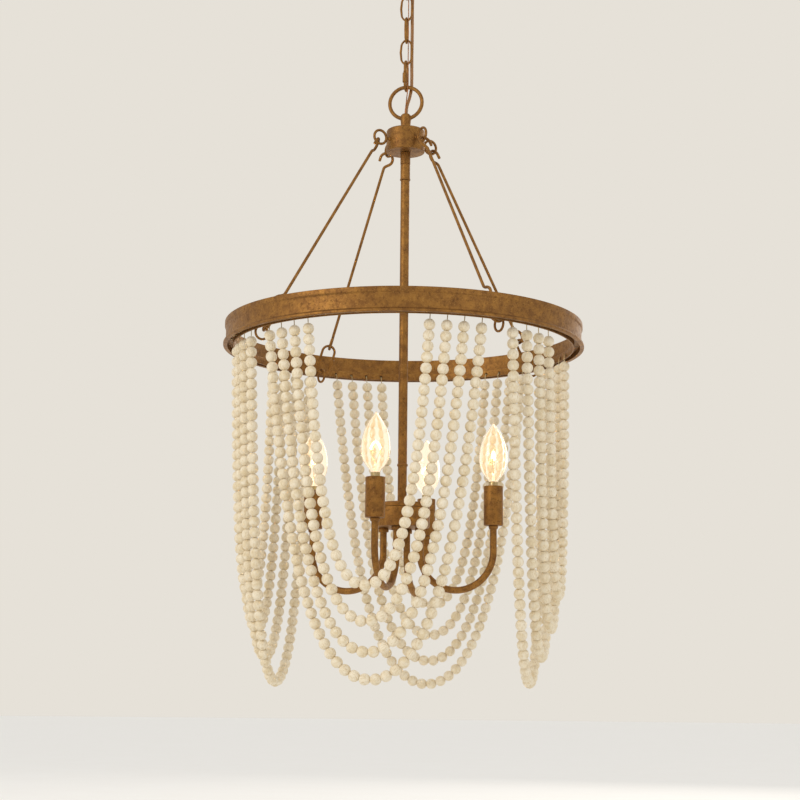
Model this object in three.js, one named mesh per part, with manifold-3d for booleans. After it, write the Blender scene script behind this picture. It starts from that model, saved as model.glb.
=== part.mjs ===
// Beaded chandelier: a ring hung by four rods from a hub, sixteen bead strands under the ring,
// and four candle lamps on curved arms below a central stem. Millimetres, +Z up.
// The origin is the middle of the ceiling plane. Local frames look out along -Y.

import * as THREE from "three";
import { mergeVertices } from "three/addons/utils/BufferGeometryUtils.js";
import Module from "manifold-3d";

const wasm = await Module();
wasm.setup();

// Fits
const gap = 0.3; // clearance between pieces that touch on the real object
const openPivotGap = 0.8; // play of the quick links in the ring's eyes
const overrun = 1; // how far a cutter runs past the faces it cuts
const mergeTolerance = 1e-5; // points closer than this are one point

// Ceiling fitting
const canopyRadius = 63.5;
const canopyHeight = 25;
const canopyWall = 1.2;
const barLength = 100;
const barWidth = 20;
const barThickness = 2;
const barScrewInset = 8; // middle of a screw hole from the bar's end
const barScrewRadius = 2.3;
const nippleRadius = 5;
const nippleBoreRadius = 3.7;
const nippleGrip = 7; // length of thread inside the canopy loop's collar

// Loops on the canopy and on the hub
const loopOuterRadius = 24;
const loopWireRadius = 2.5;
const loopNeckRadius = 7.3;
const loopBoreRadius = 3.7;
const canopyCollarRadius = 10;
const canopyCollarHeight = 8.5;
const canopyNeckReach = 9.7; // collar top down to the top of the ring
const hubNeckLength = 22;
const neckIntoRing = 8.8;

// Chain
const chainWireRadius = 1.6;
const chainLinkLength = 37;
const chainLinkWidth = 18.5;
const chainLinkCount = 4;
const quickWireRadius = 1.7;
const quickLength = 43;
const quickWidth = 20.5;
const quickNutRadius = 3.2;
const quickNutLength = 13;
const quickNutDropShare = 0.08; // nut's place below the link's middle, of the link's length

// Cord and ground wire
const cordRadius = 2.25;
const groundRadius = 0.75;

// Hub
const hubRadius = 25;
const hubHeight = 30;
const hubEdge = 3;
const hubEdgeShare = 0.3; // middle of the rounded edge, of the edge's size
const hubBoreRadius = 4.2;
const hubEyeOuterRadius = 10.75;
const hubEyeWireRadius = 1.7;
const hubEyeReach = 39; // axis to the middle of an eye
const hubEyeDrop = 16; // hub top to the middle of an eye

// Stem and body
const stemRadius = 5.75;
const stemBoreRadius = 4;
const stemLength = 451;
const couplingRadius = 6.5;
const couplingHeight = 15.5;
const sleeveSectionRadius = 6.25;
const sleeveSectionHeight = 20;
const stemRimRadius = 6.8;
const stemRimHeight = 2;
const stemCollarHeight = 3;
const stemCollarRise = 79; // stem's foot up to the top of the thin collar
const bodyRadius = 35;
const bodyWall = 1.5;
const cupHeight = 24;
const lidHeight = 6;
const lidEdge = 1.5;

// Arms and candle lamps
const armCount = 4;
const armTurn = THREE.MathUtils.degToRad(-4);
const armRadius = 4.25;
const armRootReach = 24;
const armBend = 47; // radius of the half circle
const armDropBeforeBend = 32;
const armCollarRadius = 6.5;
const armCollarHeight = 5;
const armStubIntoCup = 5;
const pipeCupRadius = 6;
const pipeCupHeight = 4;
const armNippleRadius = 3;
const armNippleLength = 9;
const candleRise = 32.5; // arm's bend centre up to the sleeve's foot
const candleRadius = 12;
const candleLength = 49;
const candleWall = 1;
const holderRadius = 9.5;
const holderBelowRim = 5;
const holderFloor = 14;
const bulbBaseRadius = 5.9;
const bulbBaseLength = 20;
const bulbRadius = 17.5;
const bulbGlassLength = 80;
const bulbNeckRadius = 7.5;
const bulbWall = 1;
// Outline of the glass, as shares of its length and of its radius
const bulbOutlineShares = [
  [0.07, 0.53],
  [0.2, 0.78],
  [0.32, 0.95],
  [0.43, 1],
  [0.56, 0.95],
  [0.7, 0.78],
  [0.84, 0.5],
  [0.94, 0.24],
];

// Ring
const ringRadius = 230;
const ringHeight = 30;
const ringWall = 2;
const ringWaistDepth = 3.2;
const ringTopRimDepth = 1.5;
const ringTopRimHeight = 7.5;
const ringRimHeight = 3;
const lipInset = 12.5; // ring's outer face in to the lip's outer face
const lipWall = 1.8;
const lipHeight = 9.5;
const webWall = 2;
const ringDrop = 262.8; // hub top down to the ring's top rim
const ringEyeOuterRadius = 10;
const ringEyeWireRadius = 1.5;
const ringEyeRise = -2.5; // middle of an eye against the ring's lower edge

// Rods
const rodRadius = 1.9;
const rodHookRadius = 8.2;
const cornerAngle = THREE.MathUtils.degToRad(45);
const cornerCount = 4;

// Bead strands
const beadRadius = 7;
const beadPitch = 13;
const tieWireRadius = 0.8;
const tieHoleRadius = 2;
const tieHoleRise = 4; // hole's middle above the lip's lower edge
const tieInset = 2.2; // tie wire inside the lip's inner face
const tieKnotRadius = 1.8;
const tieKnotReach = 3.4; // knot's middle outside the lip's outer face
const tieLength = 9.5; // hole to the first bead
const strandHalfAngles = {
  front: [20.2, 25.8, 31.5, 37.6],
  right: [22.9, 28.7, 34.7, 41.0],
  back: [20.2, 25.8, 31.5, 37.6],
  left: [22.9, 28.7, 34.7, 41.0],
};
// Tie hole down to the lowest bead's middle, from the innermost strand of a side to the outermost
const firstStrandDrop = 318;
const secondStrandDrop = 358.5;
const thirdStrandDrop = 393;
const fourthStrandDrop = 424;
const strandDrops = [firstStrandDrop, secondStrandDrop, thirdStrandDrop, fourthStrandDrop];
const lastBeadShare = 0.7; // radius where the last bead rounds off to the tie wire, of the bead's
const hangSearchShares = [0.02, 10]; // bounds of the hanging line's parameter, of half its span

// Facets
const wireSides = 5;
const bendSteps = 6;
const armBendSteps = 10;
const ringSteps = 44;
const turnSteps = 20;
const smallTurnSteps = 12;
const strandSides = 5;
const strandRowSpacing = [[3, 1], [11, 2], [Infinity, 3]]; // up to so many beads, beads from row to row
const hangSearchSteps = 60;
const cordSides = 8;
const cordSteps = 24;

// Finishes
const agedGold = { color: 0x8f6a3a, metalness: 0.7, roughness: 0.55 };
const whitewashedWood = { color: 0xe6dac0, metalness: 0, roughness: 0.7 };
const clearGlass = { color: 0xf3efe4, metalness: 0, roughness: 0.1 };
const amberCord = { color: 0x8a6332, metalness: 0, roughness: 0.4 };
const bareCopper = { color: 0x9a6a3c, metalness: 0.8, roughness: 0.4 };
const darkPlastic = { color: 0x2b2622, metalness: 0, roughness: 0.5 };
const platedSteel = { color: 0xb8b4a8, metalness: 0.9, roughness: 0.4 };

// A closed surface with its repeated points merged and its empty faces left out.
function cleaned(geometry) {
  geometry.deleteAttribute("normal");
  geometry.deleteAttribute("uv");
  const merged = mergeVertices(geometry, mergeTolerance);
  const faces = [];
  const index = merged.index.array;
  for (let i = 0; i < index.length; i += 3) {
    const [a, b, c] = [index[i], index[i + 1], index[i + 2]];
    if (a !== b && b !== c && c !== a) faces.push(a, b, c);
  }
  merged.setIndex(faces);
  return merged;
}

function solidOf(geometry) {
  const shape = cleaned(geometry);
  const vertProperties = new Float32Array(shape.attributes.position.array);
  const triVerts = new Uint32Array(shape.index.array);
  return new wasm.Manifold(new wasm.Mesh({ numProp: 3, vertProperties, triVerts }));
}

function geometryOf(solid) {
  const mesh = solid.getMesh();
  const geometry = new THREE.BufferGeometry();
  geometry.setAttribute("position", new THREE.BufferAttribute(new Float32Array(mesh.vertProperties), 3));
  geometry.setIndex(Array.from(mesh.triVerts));
  return geometry;
}

function joined(...geometries) {
  return geometryOf(geometries.map(solidOf).reduce((sum, piece) => sum.add(piece)));
}

function cut(geometry, ...cutters) {
  const start = solidOf(geometry);
  return geometryOf(cutters.map(solidOf).reduce((rest, cutter) => rest.subtract(cutter), start));
}

// A turned shape about Z from [radius, height] points that close on themselves or end on the axis.
function turned(points, steps = turnSteps) {
  const profile = points.map(([r, z]) => new THREE.Vector2(r, z));
  if (points[0][0] > 0) profile.push(profile[0].clone());
  return cleaned(new THREE.LatheGeometry(profile, steps).rotateX(Math.PI / 2));
}

function cylinder(radius, low, high, steps = turnSteps) {
  return turned([[0, low], [radius, low], [radius, high], [0, high]], steps);
}

function pipe(outer, inner, low, high, steps = turnSteps) {
  return turned([[inner, low], [outer, low], [outer, high], [inner, high]], steps);
}

// A round bar of changing radius along a line of points, closed into a ring where asked.
function bar(points, radii, sides = wireSides, closed = false) {
  const radiusAt = (i) => (Array.isArray(radii) ? radii[i] : radii);
  const count = points.length;
  const along = points.map((p, i) => {
    const before = closed ? points[(i + count - 1) % count] : points[Math.max(i - 1, 0)];
    const after = closed ? points[(i + 1) % count] : points[Math.min(i + 1, count - 1)];
    return after.clone().sub(before).normalize();
  });
  const side = Math.abs(along[0].x) < 0.9 ? new THREE.Vector3(1, 0, 0) : new THREE.Vector3(0, 1, 0);
  const first = side.clone().addScaledVector(along[0], -side.dot(along[0])).normalize();
  const normals = [first];
  for (let i = 1; i < count; i++) {
    const turn = new THREE.Quaternion().setFromUnitVectors(along[i - 1], along[i]);
    normals.push(normals[i - 1].clone().applyQuaternion(turn));
  }
  const places = [];
  for (let i = 0; i < count; i++) {
    const across = along[i].clone().cross(normals[i]);
    for (let k = 0; k < sides; k++) {
      const angle = (2 * Math.PI * k) / sides;
      const point = points[i].clone();
      point.addScaledVector(normals[i], radiusAt(i) * Math.cos(angle));
      point.addScaledVector(across, radiusAt(i) * Math.sin(angle));
      places.push(...point.toArray());
    }
  }
  const faces = [];
  const rings = closed ? count : count - 1;
  for (let i = 0; i < rings; i++) {
    const here = i * sides;
    const next = ((i + 1) % count) * sides;
    for (let k = 0; k < sides; k++) {
      const l = (k + 1) % sides;
      faces.push(here + k, here + l, next + l);
      faces.push(here + k, next + l, next + k);
    }
  }
  if (!closed) {
    const last = (count - 1) * sides;
    for (let k = 1; k < sides - 1; k++) {
      faces.push(0, k + 1, k);
      faces.push(last, last + k, last + k + 1);
    }
  }
  const geometry = new THREE.BufferGeometry();
  geometry.setAttribute("position", new THREE.BufferAttribute(new Float32Array(places), 3));
  geometry.setIndex(faces);
  return geometry;
}

// Points of a ring of wire in the XZ plane.
function circlePoints(radius, centreZ, steps) {
  return Array.from({ length: steps }, (_, i) => {
    const angle = (2 * Math.PI * i) / steps;
    return new THREE.Vector3(radius * Math.cos(angle), 0, centreZ + radius * Math.sin(angle));
  });
}

// Points of a long link in the XZ plane, round at both ends.
function linkPoints(halfWidth, halfLength) {
  const points = [];
  const straight = halfLength - halfWidth;
  for (let i = 0; i <= bendSteps; i++) {
    const angle = (Math.PI * i) / bendSteps;
    points.push(new THREE.Vector3(halfWidth * Math.cos(angle), 0, straight + halfWidth * Math.sin(angle)));
  }
  const lower = points.map((p) => new THREE.Vector3(-p.x, 0, -p.z));
  return [...points, ...lower];
}

const whole = new THREE.Group();

function place(name, geometry, finish, parent = whole) {
  const mesh = new THREE.Mesh(geometry, new THREE.MeshStandardMaterial(finish));
  mesh.name = name;
  parent.add(mesh);
  return mesh;
}

function groupAt(z, turn = 0, parent = whole) {
  const group = new THREE.Group();
  group.position.z = z;
  group.rotation.z = turn;
  parent.add(group);
  return group;
}

// Heights, from the ceiling down
const collarTopZ = -canopyHeight - gap;
const canopyLoopZ = collarTopZ - canopyNeckReach - loopOuterRadius;
const loopWirePath = loopOuterRadius - loopWireRadius;

// Ceiling bar, nipple and canopy
function ceilingBar() {
  const strap = new THREE.BoxGeometry(barLength, barWidth, barThickness).translate(0, 0, -barThickness / 2);
  const low = -barThickness - overrun;
  const nippleHole = cylinder(nippleRadius + gap, low, overrun);
  const screwHoles = [-1, 1].map((s) => {
    const hole = cylinder(barScrewRadius, low, overrun, wireSides);
    return hole.translate(s * (barLength / 2 - barScrewInset), 0, 0);
  });
  return cut(strap, nippleHole, ...screwHoles);
}

function canopyShell() {
  const crown = canopyRadius - canopyHeight;
  const foot = nippleRadius + gap;
  const outer = [];
  const inner = [];
  for (let i = 0; i <= bendSteps / 2; i++) {
    const angle = (Math.PI * i) / bendSteps;
    const [c, s] = [Math.cos(angle), Math.sin(angle)];
    const rise = canopyHeight - canopyWall;
    outer.push([crown + canopyHeight * s, -canopyHeight * c]);
    inner.unshift([crown + rise * s, -rise * c]);
  }
  return turned([[foot, -canopyHeight], ...outer, ...inner, [foot, canopyWall - canopyHeight]]);
}

// A ring of wire on a neck with a bore. The neck runs from low to high about Z.
function loopOnNeck(ringZ, low, high, ...extras) {
  const ring = bar(circlePoints(loopWirePath, ringZ, 2 * bendSteps), loopWireRadius, wireSides + 2, true);
  const neck = cylinder(loopNeckRadius, low, high, smallTurnSteps);
  const bore = cylinder(loopBoreRadius, low - overrun, high + overrun, smallTurnSteps);
  return cut(joined(ring, neck, ...extras), bore);
}

place("ceiling_bar", ceilingBar(), platedSteel);
place("threaded_nipple", pipe(nippleRadius, nippleBoreRadius, collarTopZ - nippleGrip, 0), platedSteel);
place("canopy", canopyShell(), agedGold);

function canopyLoop() {
  const ringTopZ = canopyLoopZ + loopOuterRadius;
  const collar = cylinder(canopyCollarRadius, collarTopZ - canopyCollarHeight, collarTopZ, smallTurnSteps);
  const body = loopOnNeck(canopyLoopZ, ringTopZ - neckIntoRing, collarTopZ, collar);
  const threadFoot = collarTopZ - nippleGrip - gap;
  return cut(body, cylinder(nippleRadius + gap, threadFoot, collarTopZ + overrun, smallTurnSteps));
}
place("canopy_loop", canopyLoop(), agedGold);

// Chain: each link hangs on the wire above it and stands square to it
let hookZ = canopyLoopZ - loopWirePath; // middle of the wire that holds the next link
let hookRadius = loopWireRadius;
let turnedSquare = true; // whether the next link lies in the YZ plane

function nextTopWire(wireRadius) {
  return hookZ + hookRadius + wireRadius + gap;
}

for (let n = 1; n <= chainLinkCount; n++) {
  const halfPath = chainLinkLength / 2 - chainWireRadius;
  const centre = nextTopWire(chainWireRadius) - halfPath;
  const points = linkPoints(chainLinkWidth / 2 - chainWireRadius, halfPath);
  const link = place(`chain_link_${n}`, bar(points, chainWireRadius, wireSides, true), agedGold);
  link.position.z = centre;
  link.rotation.z = turnedSquare ? Math.PI / 2 : 0;
  hookZ = centre - halfPath;
  hookRadius = chainWireRadius;
  turnedSquare = !turnedSquare;
}

// A quick link in the XZ plane about its middle, with its sleeve nut on the side at +X
function quickLink() {
  const side = quickWidth / 2 - quickWireRadius;
  const halfPath = quickLength / 2 - quickWireRadius;
  const loop = bar(linkPoints(side, halfPath), quickWireRadius, wireSides, true);
  const middle = -quickNutDropShare * quickLength;
  const nut = cylinder(quickNutRadius, middle - quickNutLength / 2, middle + quickNutLength / 2, wireSides);
  return joined(loop, nut.translate(side, 0, 0));
}

const quickHalfPath = quickLength / 2 - quickWireRadius;
const chainQuickZ = nextTopWire(quickWireRadius) - quickHalfPath;
const chainQuick = place("chain_quick_link", quickLink(), agedGold);
chainQuick.position.z = chainQuickZ;
chainQuick.rotation.z = -Math.PI / 2;
hookZ = chainQuickZ - quickHalfPath;
hookRadius = quickWireRadius;

// Hub loop and hub
const hubLoopZ = nextTopWire(loopWireRadius) - loopWirePath;
const hubNeckTopZ = hubLoopZ - loopOuterRadius + neckIntoRing;
const hubNeckFootZ = hubNeckTopZ - hubNeckLength;
const hubTopZ = hubNeckFootZ - gap;
const hubFootZ = hubTopZ - hubHeight;
place("hub_loop", loopOnNeck(hubLoopZ, hubNeckFootZ, hubNeckTopZ), agedGold);

function hubWithEyes() {
  const edge = hubEdge * hubEdgeShare;
  const top = [[hubRadius, -hubEdge], [hubRadius - edge, -edge], [hubRadius - hubEdge, 0]];
  const profile = [[hubBoreRadius, -hubHeight], [hubRadius, -hubHeight], ...top, [hubBoreRadius, 0]];
  const pieces = [turned(profile, turnSteps)];
  const eyePath = hubEyeOuterRadius - hubEyeWireRadius;
  for (let n = 0; n < cornerCount; n++) {
    const turn = cornerAngle + (n * 2 * Math.PI) / cornerCount;
    const eye = bar(circlePoints(eyePath, -hubEyeDrop, 2 * bendSteps), hubEyeWireRadius, wireSides, true);
    const shankStart = hubRadius - overrun;
    const shankEnd = hubEyeReach - eyePath;
    const shank = cylinder(hubEyeWireRadius, shankStart, shankEnd, wireSides).rotateY(Math.PI / 2);
    for (const piece of [eye.translate(hubEyeReach, 0, 0), shank.translate(0, 0, -hubEyeDrop)]) {
      pieces.push(piece.rotateZ(turn - Math.PI / 2));
    }
  }
  return joined(...pieces);
}
place("hub", hubWithEyes(), agedGold).position.z = hubTopZ;

// Supply cord and ground wire, from the nipple down beside the chain and into the hub.
// The points are [x, y, z] along the real route.
const cordRoute = [
  [0, 1, -3],
  [0, 1, -30],
  [0, 1, -44],
  [2.4, 3, -57],
  [6.2, 5.6, -68],
  [7, 6, -80],
  [6.8, 5.4, -100],
  [6.5, 5.2, -125],
  [6.6, 5.2, -150],
  [6.5, 5.2, -175],
  [6.4, 5.2, -200],
  [6.4, 5.8, -222],
  [6, 5.9, -233],
  [4, 3.8, -246],
  [1.2, 1.3, -258],
  [0.2, 1.2, -268],
  [0, 1.2, -279],
  [0, 1.2, -306],
];
const groundRoute = [
  [0, -2.4, -3],
  [0, -2.4, -43],
  [1, -3.2, -57],
  [3.1, -4.3, -70],
  [3.3, -4.3, -82],
  [3.1, -3.1, -96],
  [3.1, -3.1, -125],
  [3.1, -3.1, -180],
  [3.1, -3.1, -217],
  [3.2, -4.2, -228],
  [3, -4.2, -237],
  [1.4, -3.2, -251],
  [0, -2.5, -266],
  [0, -2.5, -306],
];

function routed(route, radius, sides, steps) {
  const curve = new THREE.CatmullRomCurve3(route.map((p) => new THREE.Vector3(...p)), false, "centripetal");
  const outline = new THREE.Shape();
  for (let k = 0; k < sides; k++) {
    const angle = (2 * Math.PI * k) / sides;
    outline[k ? "lineTo" : "moveTo"](radius * Math.cos(angle), radius * Math.sin(angle));
  }
  return cleaned(new THREE.ExtrudeGeometry(outline, { steps, extrudePath: curve, bevelEnabled: false }));
}
place("supply_cord", routed(cordRoute, cordRadius, cordSides, cordSteps), amberCord);
place("ground_wire", routed(groundRoute, groundRadius, wireSides, cordSteps), bareCopper);

// Stem: coupling under the hub, tube, thin collar
const couplingTopZ = hubFootZ - gap;
const sectionFootZ = couplingTopZ - couplingHeight - sleeveSectionHeight;
const stemTopZ = sectionFootZ - stemRimHeight - gap;
const stemFootZ = stemTopZ - stemLength;

function stemCoupling() {
  const shoulderZ = couplingTopZ - couplingHeight;
  const rimFootZ = sectionFootZ - stemRimHeight;
  return turned([
    [stemBoreRadius, rimFootZ],
    [stemRimRadius, rimFootZ],
    [stemRimRadius, sectionFootZ],
    [sleeveSectionRadius, sectionFootZ],
    [sleeveSectionRadius, shoulderZ],
    [couplingRadius, shoulderZ],
    [couplingRadius, couplingTopZ],
    [stemBoreRadius, couplingTopZ],
  ], smallTurnSteps);
}
place("stem_coupling", stemCoupling(), agedGold);
place("stem_tube", pipe(stemRadius, stemBoreRadius, stemFootZ, stemTopZ, smallTurnSteps), agedGold);
const collarZ = stemFootZ + stemCollarRise;
const collarBore = stemRadius + gap;
const collarFootZ = collarZ - stemCollarHeight;
place("stem_collar", pipe(stemRimRadius, collarBore, collarFootZ, collarZ, smallTurnSteps), agedGold);

// Body: a cup that the arms come out of, and its lid
const cupFloorZ = stemFootZ - gap;
const cupFootZ = cupFloorZ - bodyWall;
const cupTopZ = cupFootZ + cupHeight;

function bodyCup() {
  const inner = bodyRadius - bodyWall;
  const cup = turned([[0, cupFootZ], [bodyRadius, cupFootZ], [bodyRadius, cupTopZ], [inner, cupTopZ],
    [inner, cupFloorZ], [0, cupFloorZ]]);
  const holes = [];
  for (let n = 0; n < armCount; n++) {
    const hole = cylinder(armRadius + gap, cupFootZ - overrun, cupFloorZ + overrun, smallTurnSteps);
    holes.push(hole.translate(0, -armRootReach, 0).rotateZ(armTurn + (n * 2 * Math.PI) / armCount));
  }
  return cut(cup, ...holes);
}
place("body_cup", bodyCup(), agedGold);
const lidFootZ = cupTopZ + gap;
const lidTopZ = lidFootZ + lidHeight;
const lid = [[stemRadius + gap, lidFootZ], [bodyRadius, lidFootZ], [bodyRadius, lidTopZ - lidEdge],
  [bodyRadius - lidEdge, lidTopZ], [stemRadius + gap, lidTopZ]];
place("body_lid", turned(lid), agedGold);

// Arms, lamp holders, candle sleeves and bulbs, in a frame that looks out along -Y
const bendZ = cupFootZ - armDropBeforeBend;
const candleFootZ = bendZ + candleRise;
const candleReach = armRootReach + 2 * armBend;

function arm() {
  const rows = [];
  const add = (r, z, radius) => rows.push([new THREE.Vector3(0, -r, z), radius]);
  const collarTop = cupFootZ - gap;
  const collarFoot = collarTop - armCollarHeight;
  add(armRootReach, cupFloorZ + armStubIntoCup, armRadius);
  add(armRootReach, collarTop, armRadius);
  add(armRootReach, collarTop, armCollarRadius);
  add(armRootReach, collarFoot, armCollarRadius);
  add(armRootReach, collarFoot, armRadius);
  for (let i = 0; i <= armBendSteps; i++) {
    const angle = (Math.PI * i) / armBendSteps;
    add(armRootReach + armBend * (1 - Math.cos(angle)), bendZ - armBend * Math.sin(angle), armRadius);
  }
  const cupTop = candleFootZ - gap;
  add(candleReach, cupTop - pipeCupHeight, armRadius);
  add(candleReach, cupTop - pipeCupHeight, pipeCupRadius);
  add(candleReach, cupTop, pipeCupRadius);
  add(candleReach, cupTop, armNippleRadius);
  add(candleReach, cupTop + armNippleLength, armNippleRadius);
  return steppedBar(rows, wireSides + 2);
}

// A bar whose radius may jump in one place: there the next row keeps the last direction.
function steppedBar(rows, sides) {
  const pieces = [];
  let start = 0;
  for (let i = 1; i <= rows.length; i++) {
    const jump = i === rows.length || rows[i][0].equals(rows[i - 1][0]);
    if (!jump) continue;
    const run = rows.slice(start, i);
    pieces.push(bar(run.map((r) => r[0]), run.map((r) => r[1]), sides));
    start = i;
  }
  return joined(...pieces);
}

function lampHolder() {
  const floor = candleFootZ + candleWall + gap;
  const top = candleFootZ + candleLength - holderBelowRim;
  const screw = armNippleRadius + gap;
  const socket = bulbBaseRadius + gap;
  return turned([[screw, floor], [holderRadius, floor], [holderRadius, top], [socket, top],
    [socket, floor + holderFloor], [screw, floor + holderFloor]], smallTurnSteps);
}

function candleSleeve() {
  const top = candleFootZ + candleLength;
  const floor = candleFootZ + candleWall;
  const screw = armNippleRadius + gap;
  const inner = candleRadius - candleWall;
  return turned([[screw, candleFootZ], [candleRadius, candleFootZ], [candleRadius, top], [inner, top],
    [inner, floor], [screw, floor]], smallTurnSteps);
}

// A thin glass with a hollow base, open at its foot
function bulb() {
  const neckZ = candleFootZ + candleLength;
  const baseZ = neckZ - bulbBaseLength;
  const topZ = neckZ + bulbGlassLength;
  const bore = bulbBaseRadius - bulbWall;
  const glass = bulbOutlineShares.map(([along, across]) => [
    across * bulbRadius,
    neckZ + along * bulbGlassLength,
  ]);
  const inside = glass.map(([r, z]) => [r - bulbWall, z]).reverse();
  return turned([[bore, baseZ], [bulbBaseRadius, baseZ], [bulbBaseRadius, neckZ], [bulbNeckRadius, neckZ],
    ...glass, [0, topZ], [0, topZ - bulbWall], ...inside, [bore, neckZ]], smallTurnSteps);
}

for (let n = 1; n <= armCount; n++) {
  const out = groupAt(0, armTurn + ((n - 1) * 2 * Math.PI) / armCount);
  place(`arm_${n}`, arm(), agedGold, out);
  place(`lamp_holder_${n}`, lampHolder().translate(0, -candleReach, 0), darkPlastic, out);
  place(`candle_sleeve_${n}`, candleSleeve().translate(0, -candleReach, 0), agedGold, out);
  place(`bulb_${n}`, bulb().translate(0, -candleReach, 0), clearGlass, out);
}

// Ring: outer band, web and inner lip, with the tie holes and four welded eyes
const ringTopZ = hubTopZ - ringDrop;
const ringFootZ = ringTopZ - ringHeight;
const lipRadius = ringRadius - lipInset;
const lipInner = lipRadius - lipWall;
const tieZ = ringFootZ + tieHoleRise;
const ringEyeReach = lipInner + ringEyeWireRadius / 2 - ringEyeOuterRadius;
const ringEyeZ = ringFootZ + ringEyeRise;

function ringBand() {
  const waist = ringRadius - ringWaistDepth;
  const bandInner = waist - ringWall;
  const topRim = waist + ringTopRimDepth;
  const webTop = ringFootZ + lipHeight;
  const webFoot = webTop - webWall;
  return turned([
    [bandInner, ringFootZ],
    [ringRadius, ringFootZ],
    [ringRadius, ringFootZ + ringRimHeight],
    [waist, ringFootZ + ringRimHeight + ringWaistDepth / 2],
    [waist, ringTopZ - ringTopRimHeight],
    [topRim, ringTopZ - ringTopRimHeight + ringTopRimDepth],
    [topRim, ringTopZ],
    [bandInner, ringTopZ],
    [bandInner, webTop],
    [lipInner, webTop],
    [lipInner, ringFootZ],
    [lipRadius, ringFootZ],
    [lipRadius, webFoot],
    [bandInner, webFoot],
  ], ringSteps);
}

function tieHoles() {
  return Object.values(strandHalfAngles).flatMap((angles, side) => angles.flatMap((degrees) =>
    [-1, 1].map((s) => {
      const turn = (side * Math.PI) / 2 + s * THREE.MathUtils.degToRad(degrees);
      const reach = lipWall + 2 * overrun;
      const drill = cylinder(tieHoleRadius, -reach / 2, reach / 2, wireSides).rotateX(Math.PI / 2);
      return drill.translate(0, lipWall / 2 - lipRadius, tieZ).rotateZ(turn);
    })));
}

function ringWithEyes() {
  const eyes = [];
  const eyePath = ringEyeOuterRadius - ringEyeWireRadius;
  for (let n = 0; n < cornerCount; n++) {
    const eye = bar(circlePoints(eyePath, ringEyeZ, 2 * bendSteps), ringEyeWireRadius, wireSides, true);
    const turn = cornerAngle + (n * 2 * Math.PI) / cornerCount - Math.PI / 2;
    eyes.push(eye.translate(ringEyeReach, 0, 0).rotateZ(turn));
  }
  return cut(joined(ringBand(), ...eyes), ...tieHoles());
}
place("ring", ringWithEyes(), agedGold);

// Rods and their quick links, at the four corners, in a frame that looks out along -Y
const hubEye = new THREE.Vector3(0, -hubEyeReach, hubTopZ - hubEyeDrop);
const ringEye = new THREE.Vector3(0, -ringEyeReach, ringEyeZ);
const down = ringEye.clone().sub(hubEye).normalize(); // from the hub's eye to the ring's eye
const tangent = new THREE.Vector3(1, 0, 0);
const inPlane = tangent.clone().cross(down).normalize();
const hubWire = hubEye.clone().addScaledVector(down, hubEyeOuterRadius - hubEyeWireRadius);
const upperHookCentre = hubWire.clone()
  .addScaledVector(down, rodHookRadius - rodRadius - hubEyeWireRadius - gap);
const quickFoot = ringEye.clone().addScaledVector(down,
  -(ringEyeOuterRadius - 2 * ringEyeWireRadius - quickWireRadius - openPivotGap));
const quickMiddle = quickFoot.clone().addScaledVector(down, -quickHalfPath);
const quickHead = quickMiddle.clone().addScaledVector(down, -quickHalfPath);
const lowerHookCentre = quickHead.clone()
  .addScaledVector(down, -(rodHookRadius - rodRadius - quickWireRadius - gap));

// The hook about its centre: out is the way from the rod to the hook's far end, side its plane's other axis.
// Its points run from the free end round to the rod.
function hookPoints(centre, out, side) {
  const freeEnd = THREE.MathUtils.degToRad(135);
  const sweep = THREE.MathUtils.degToRad(270);
  const points = [];
  for (let i = 0; i <= bendSteps; i++) {
    const angle = freeEnd - (sweep * i) / bendSteps;
    points.push(centre.clone()
      .addScaledVector(out, rodHookRadius * Math.cos(angle))
      .addScaledVector(side, rodHookRadius * Math.sin(angle)));
  }
  const neckShares = [[-1.25, -0.28], [-1.8, 0]];
  for (const [along, across] of neckShares) {
    points.push(centre.clone()
      .addScaledVector(out, rodHookRadius * along)
      .addScaledVector(side, rodHookRadius * across));
  }
  return points;
}

function hangingRod() {
  const upper = hookPoints(upperHookCentre, down.clone().negate(), tangent);
  const lower = hookPoints(lowerHookCentre, down, inPlane).reverse();
  return bar([...upper, ...lower], rodRadius, wireSides);
}

for (let n = 1; n <= cornerCount; n++) {
  const corner = groupAt(0, cornerAngle + ((n - 1) * 2 * Math.PI) / cornerCount);
  place(`hanging_rod_${n}`, hangingRod(), agedGold, corner);
  const link = place(`rod_quick_link_${n}`, quickLink(), agedGold, corner);
  link.position.copy(quickMiddle);
  link.quaternion.setFromUnitVectors(new THREE.Vector3(0, 0, -1), down);
  link.rotateZ(Math.PI); // the nut is on the side at -X
}

// Bead strands: a hanging chain line between two tie holes, in a plane across its side of the ring.
// Length is measured along the line from its lowest point.
function hangParameter(halfSpan, drop) {
  let [low, high] = hangSearchShares.map((share) => share * halfSpan);
  for (let i = 0; i < hangSearchSteps; i++) {
    const middle = (low + high) / 2;
    const sag = middle * (Math.cosh(halfSpan / middle) - 1);
    if (sag > drop) low = middle;
    else high = middle;
  }
  return (low + high) / 2;
}

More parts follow.
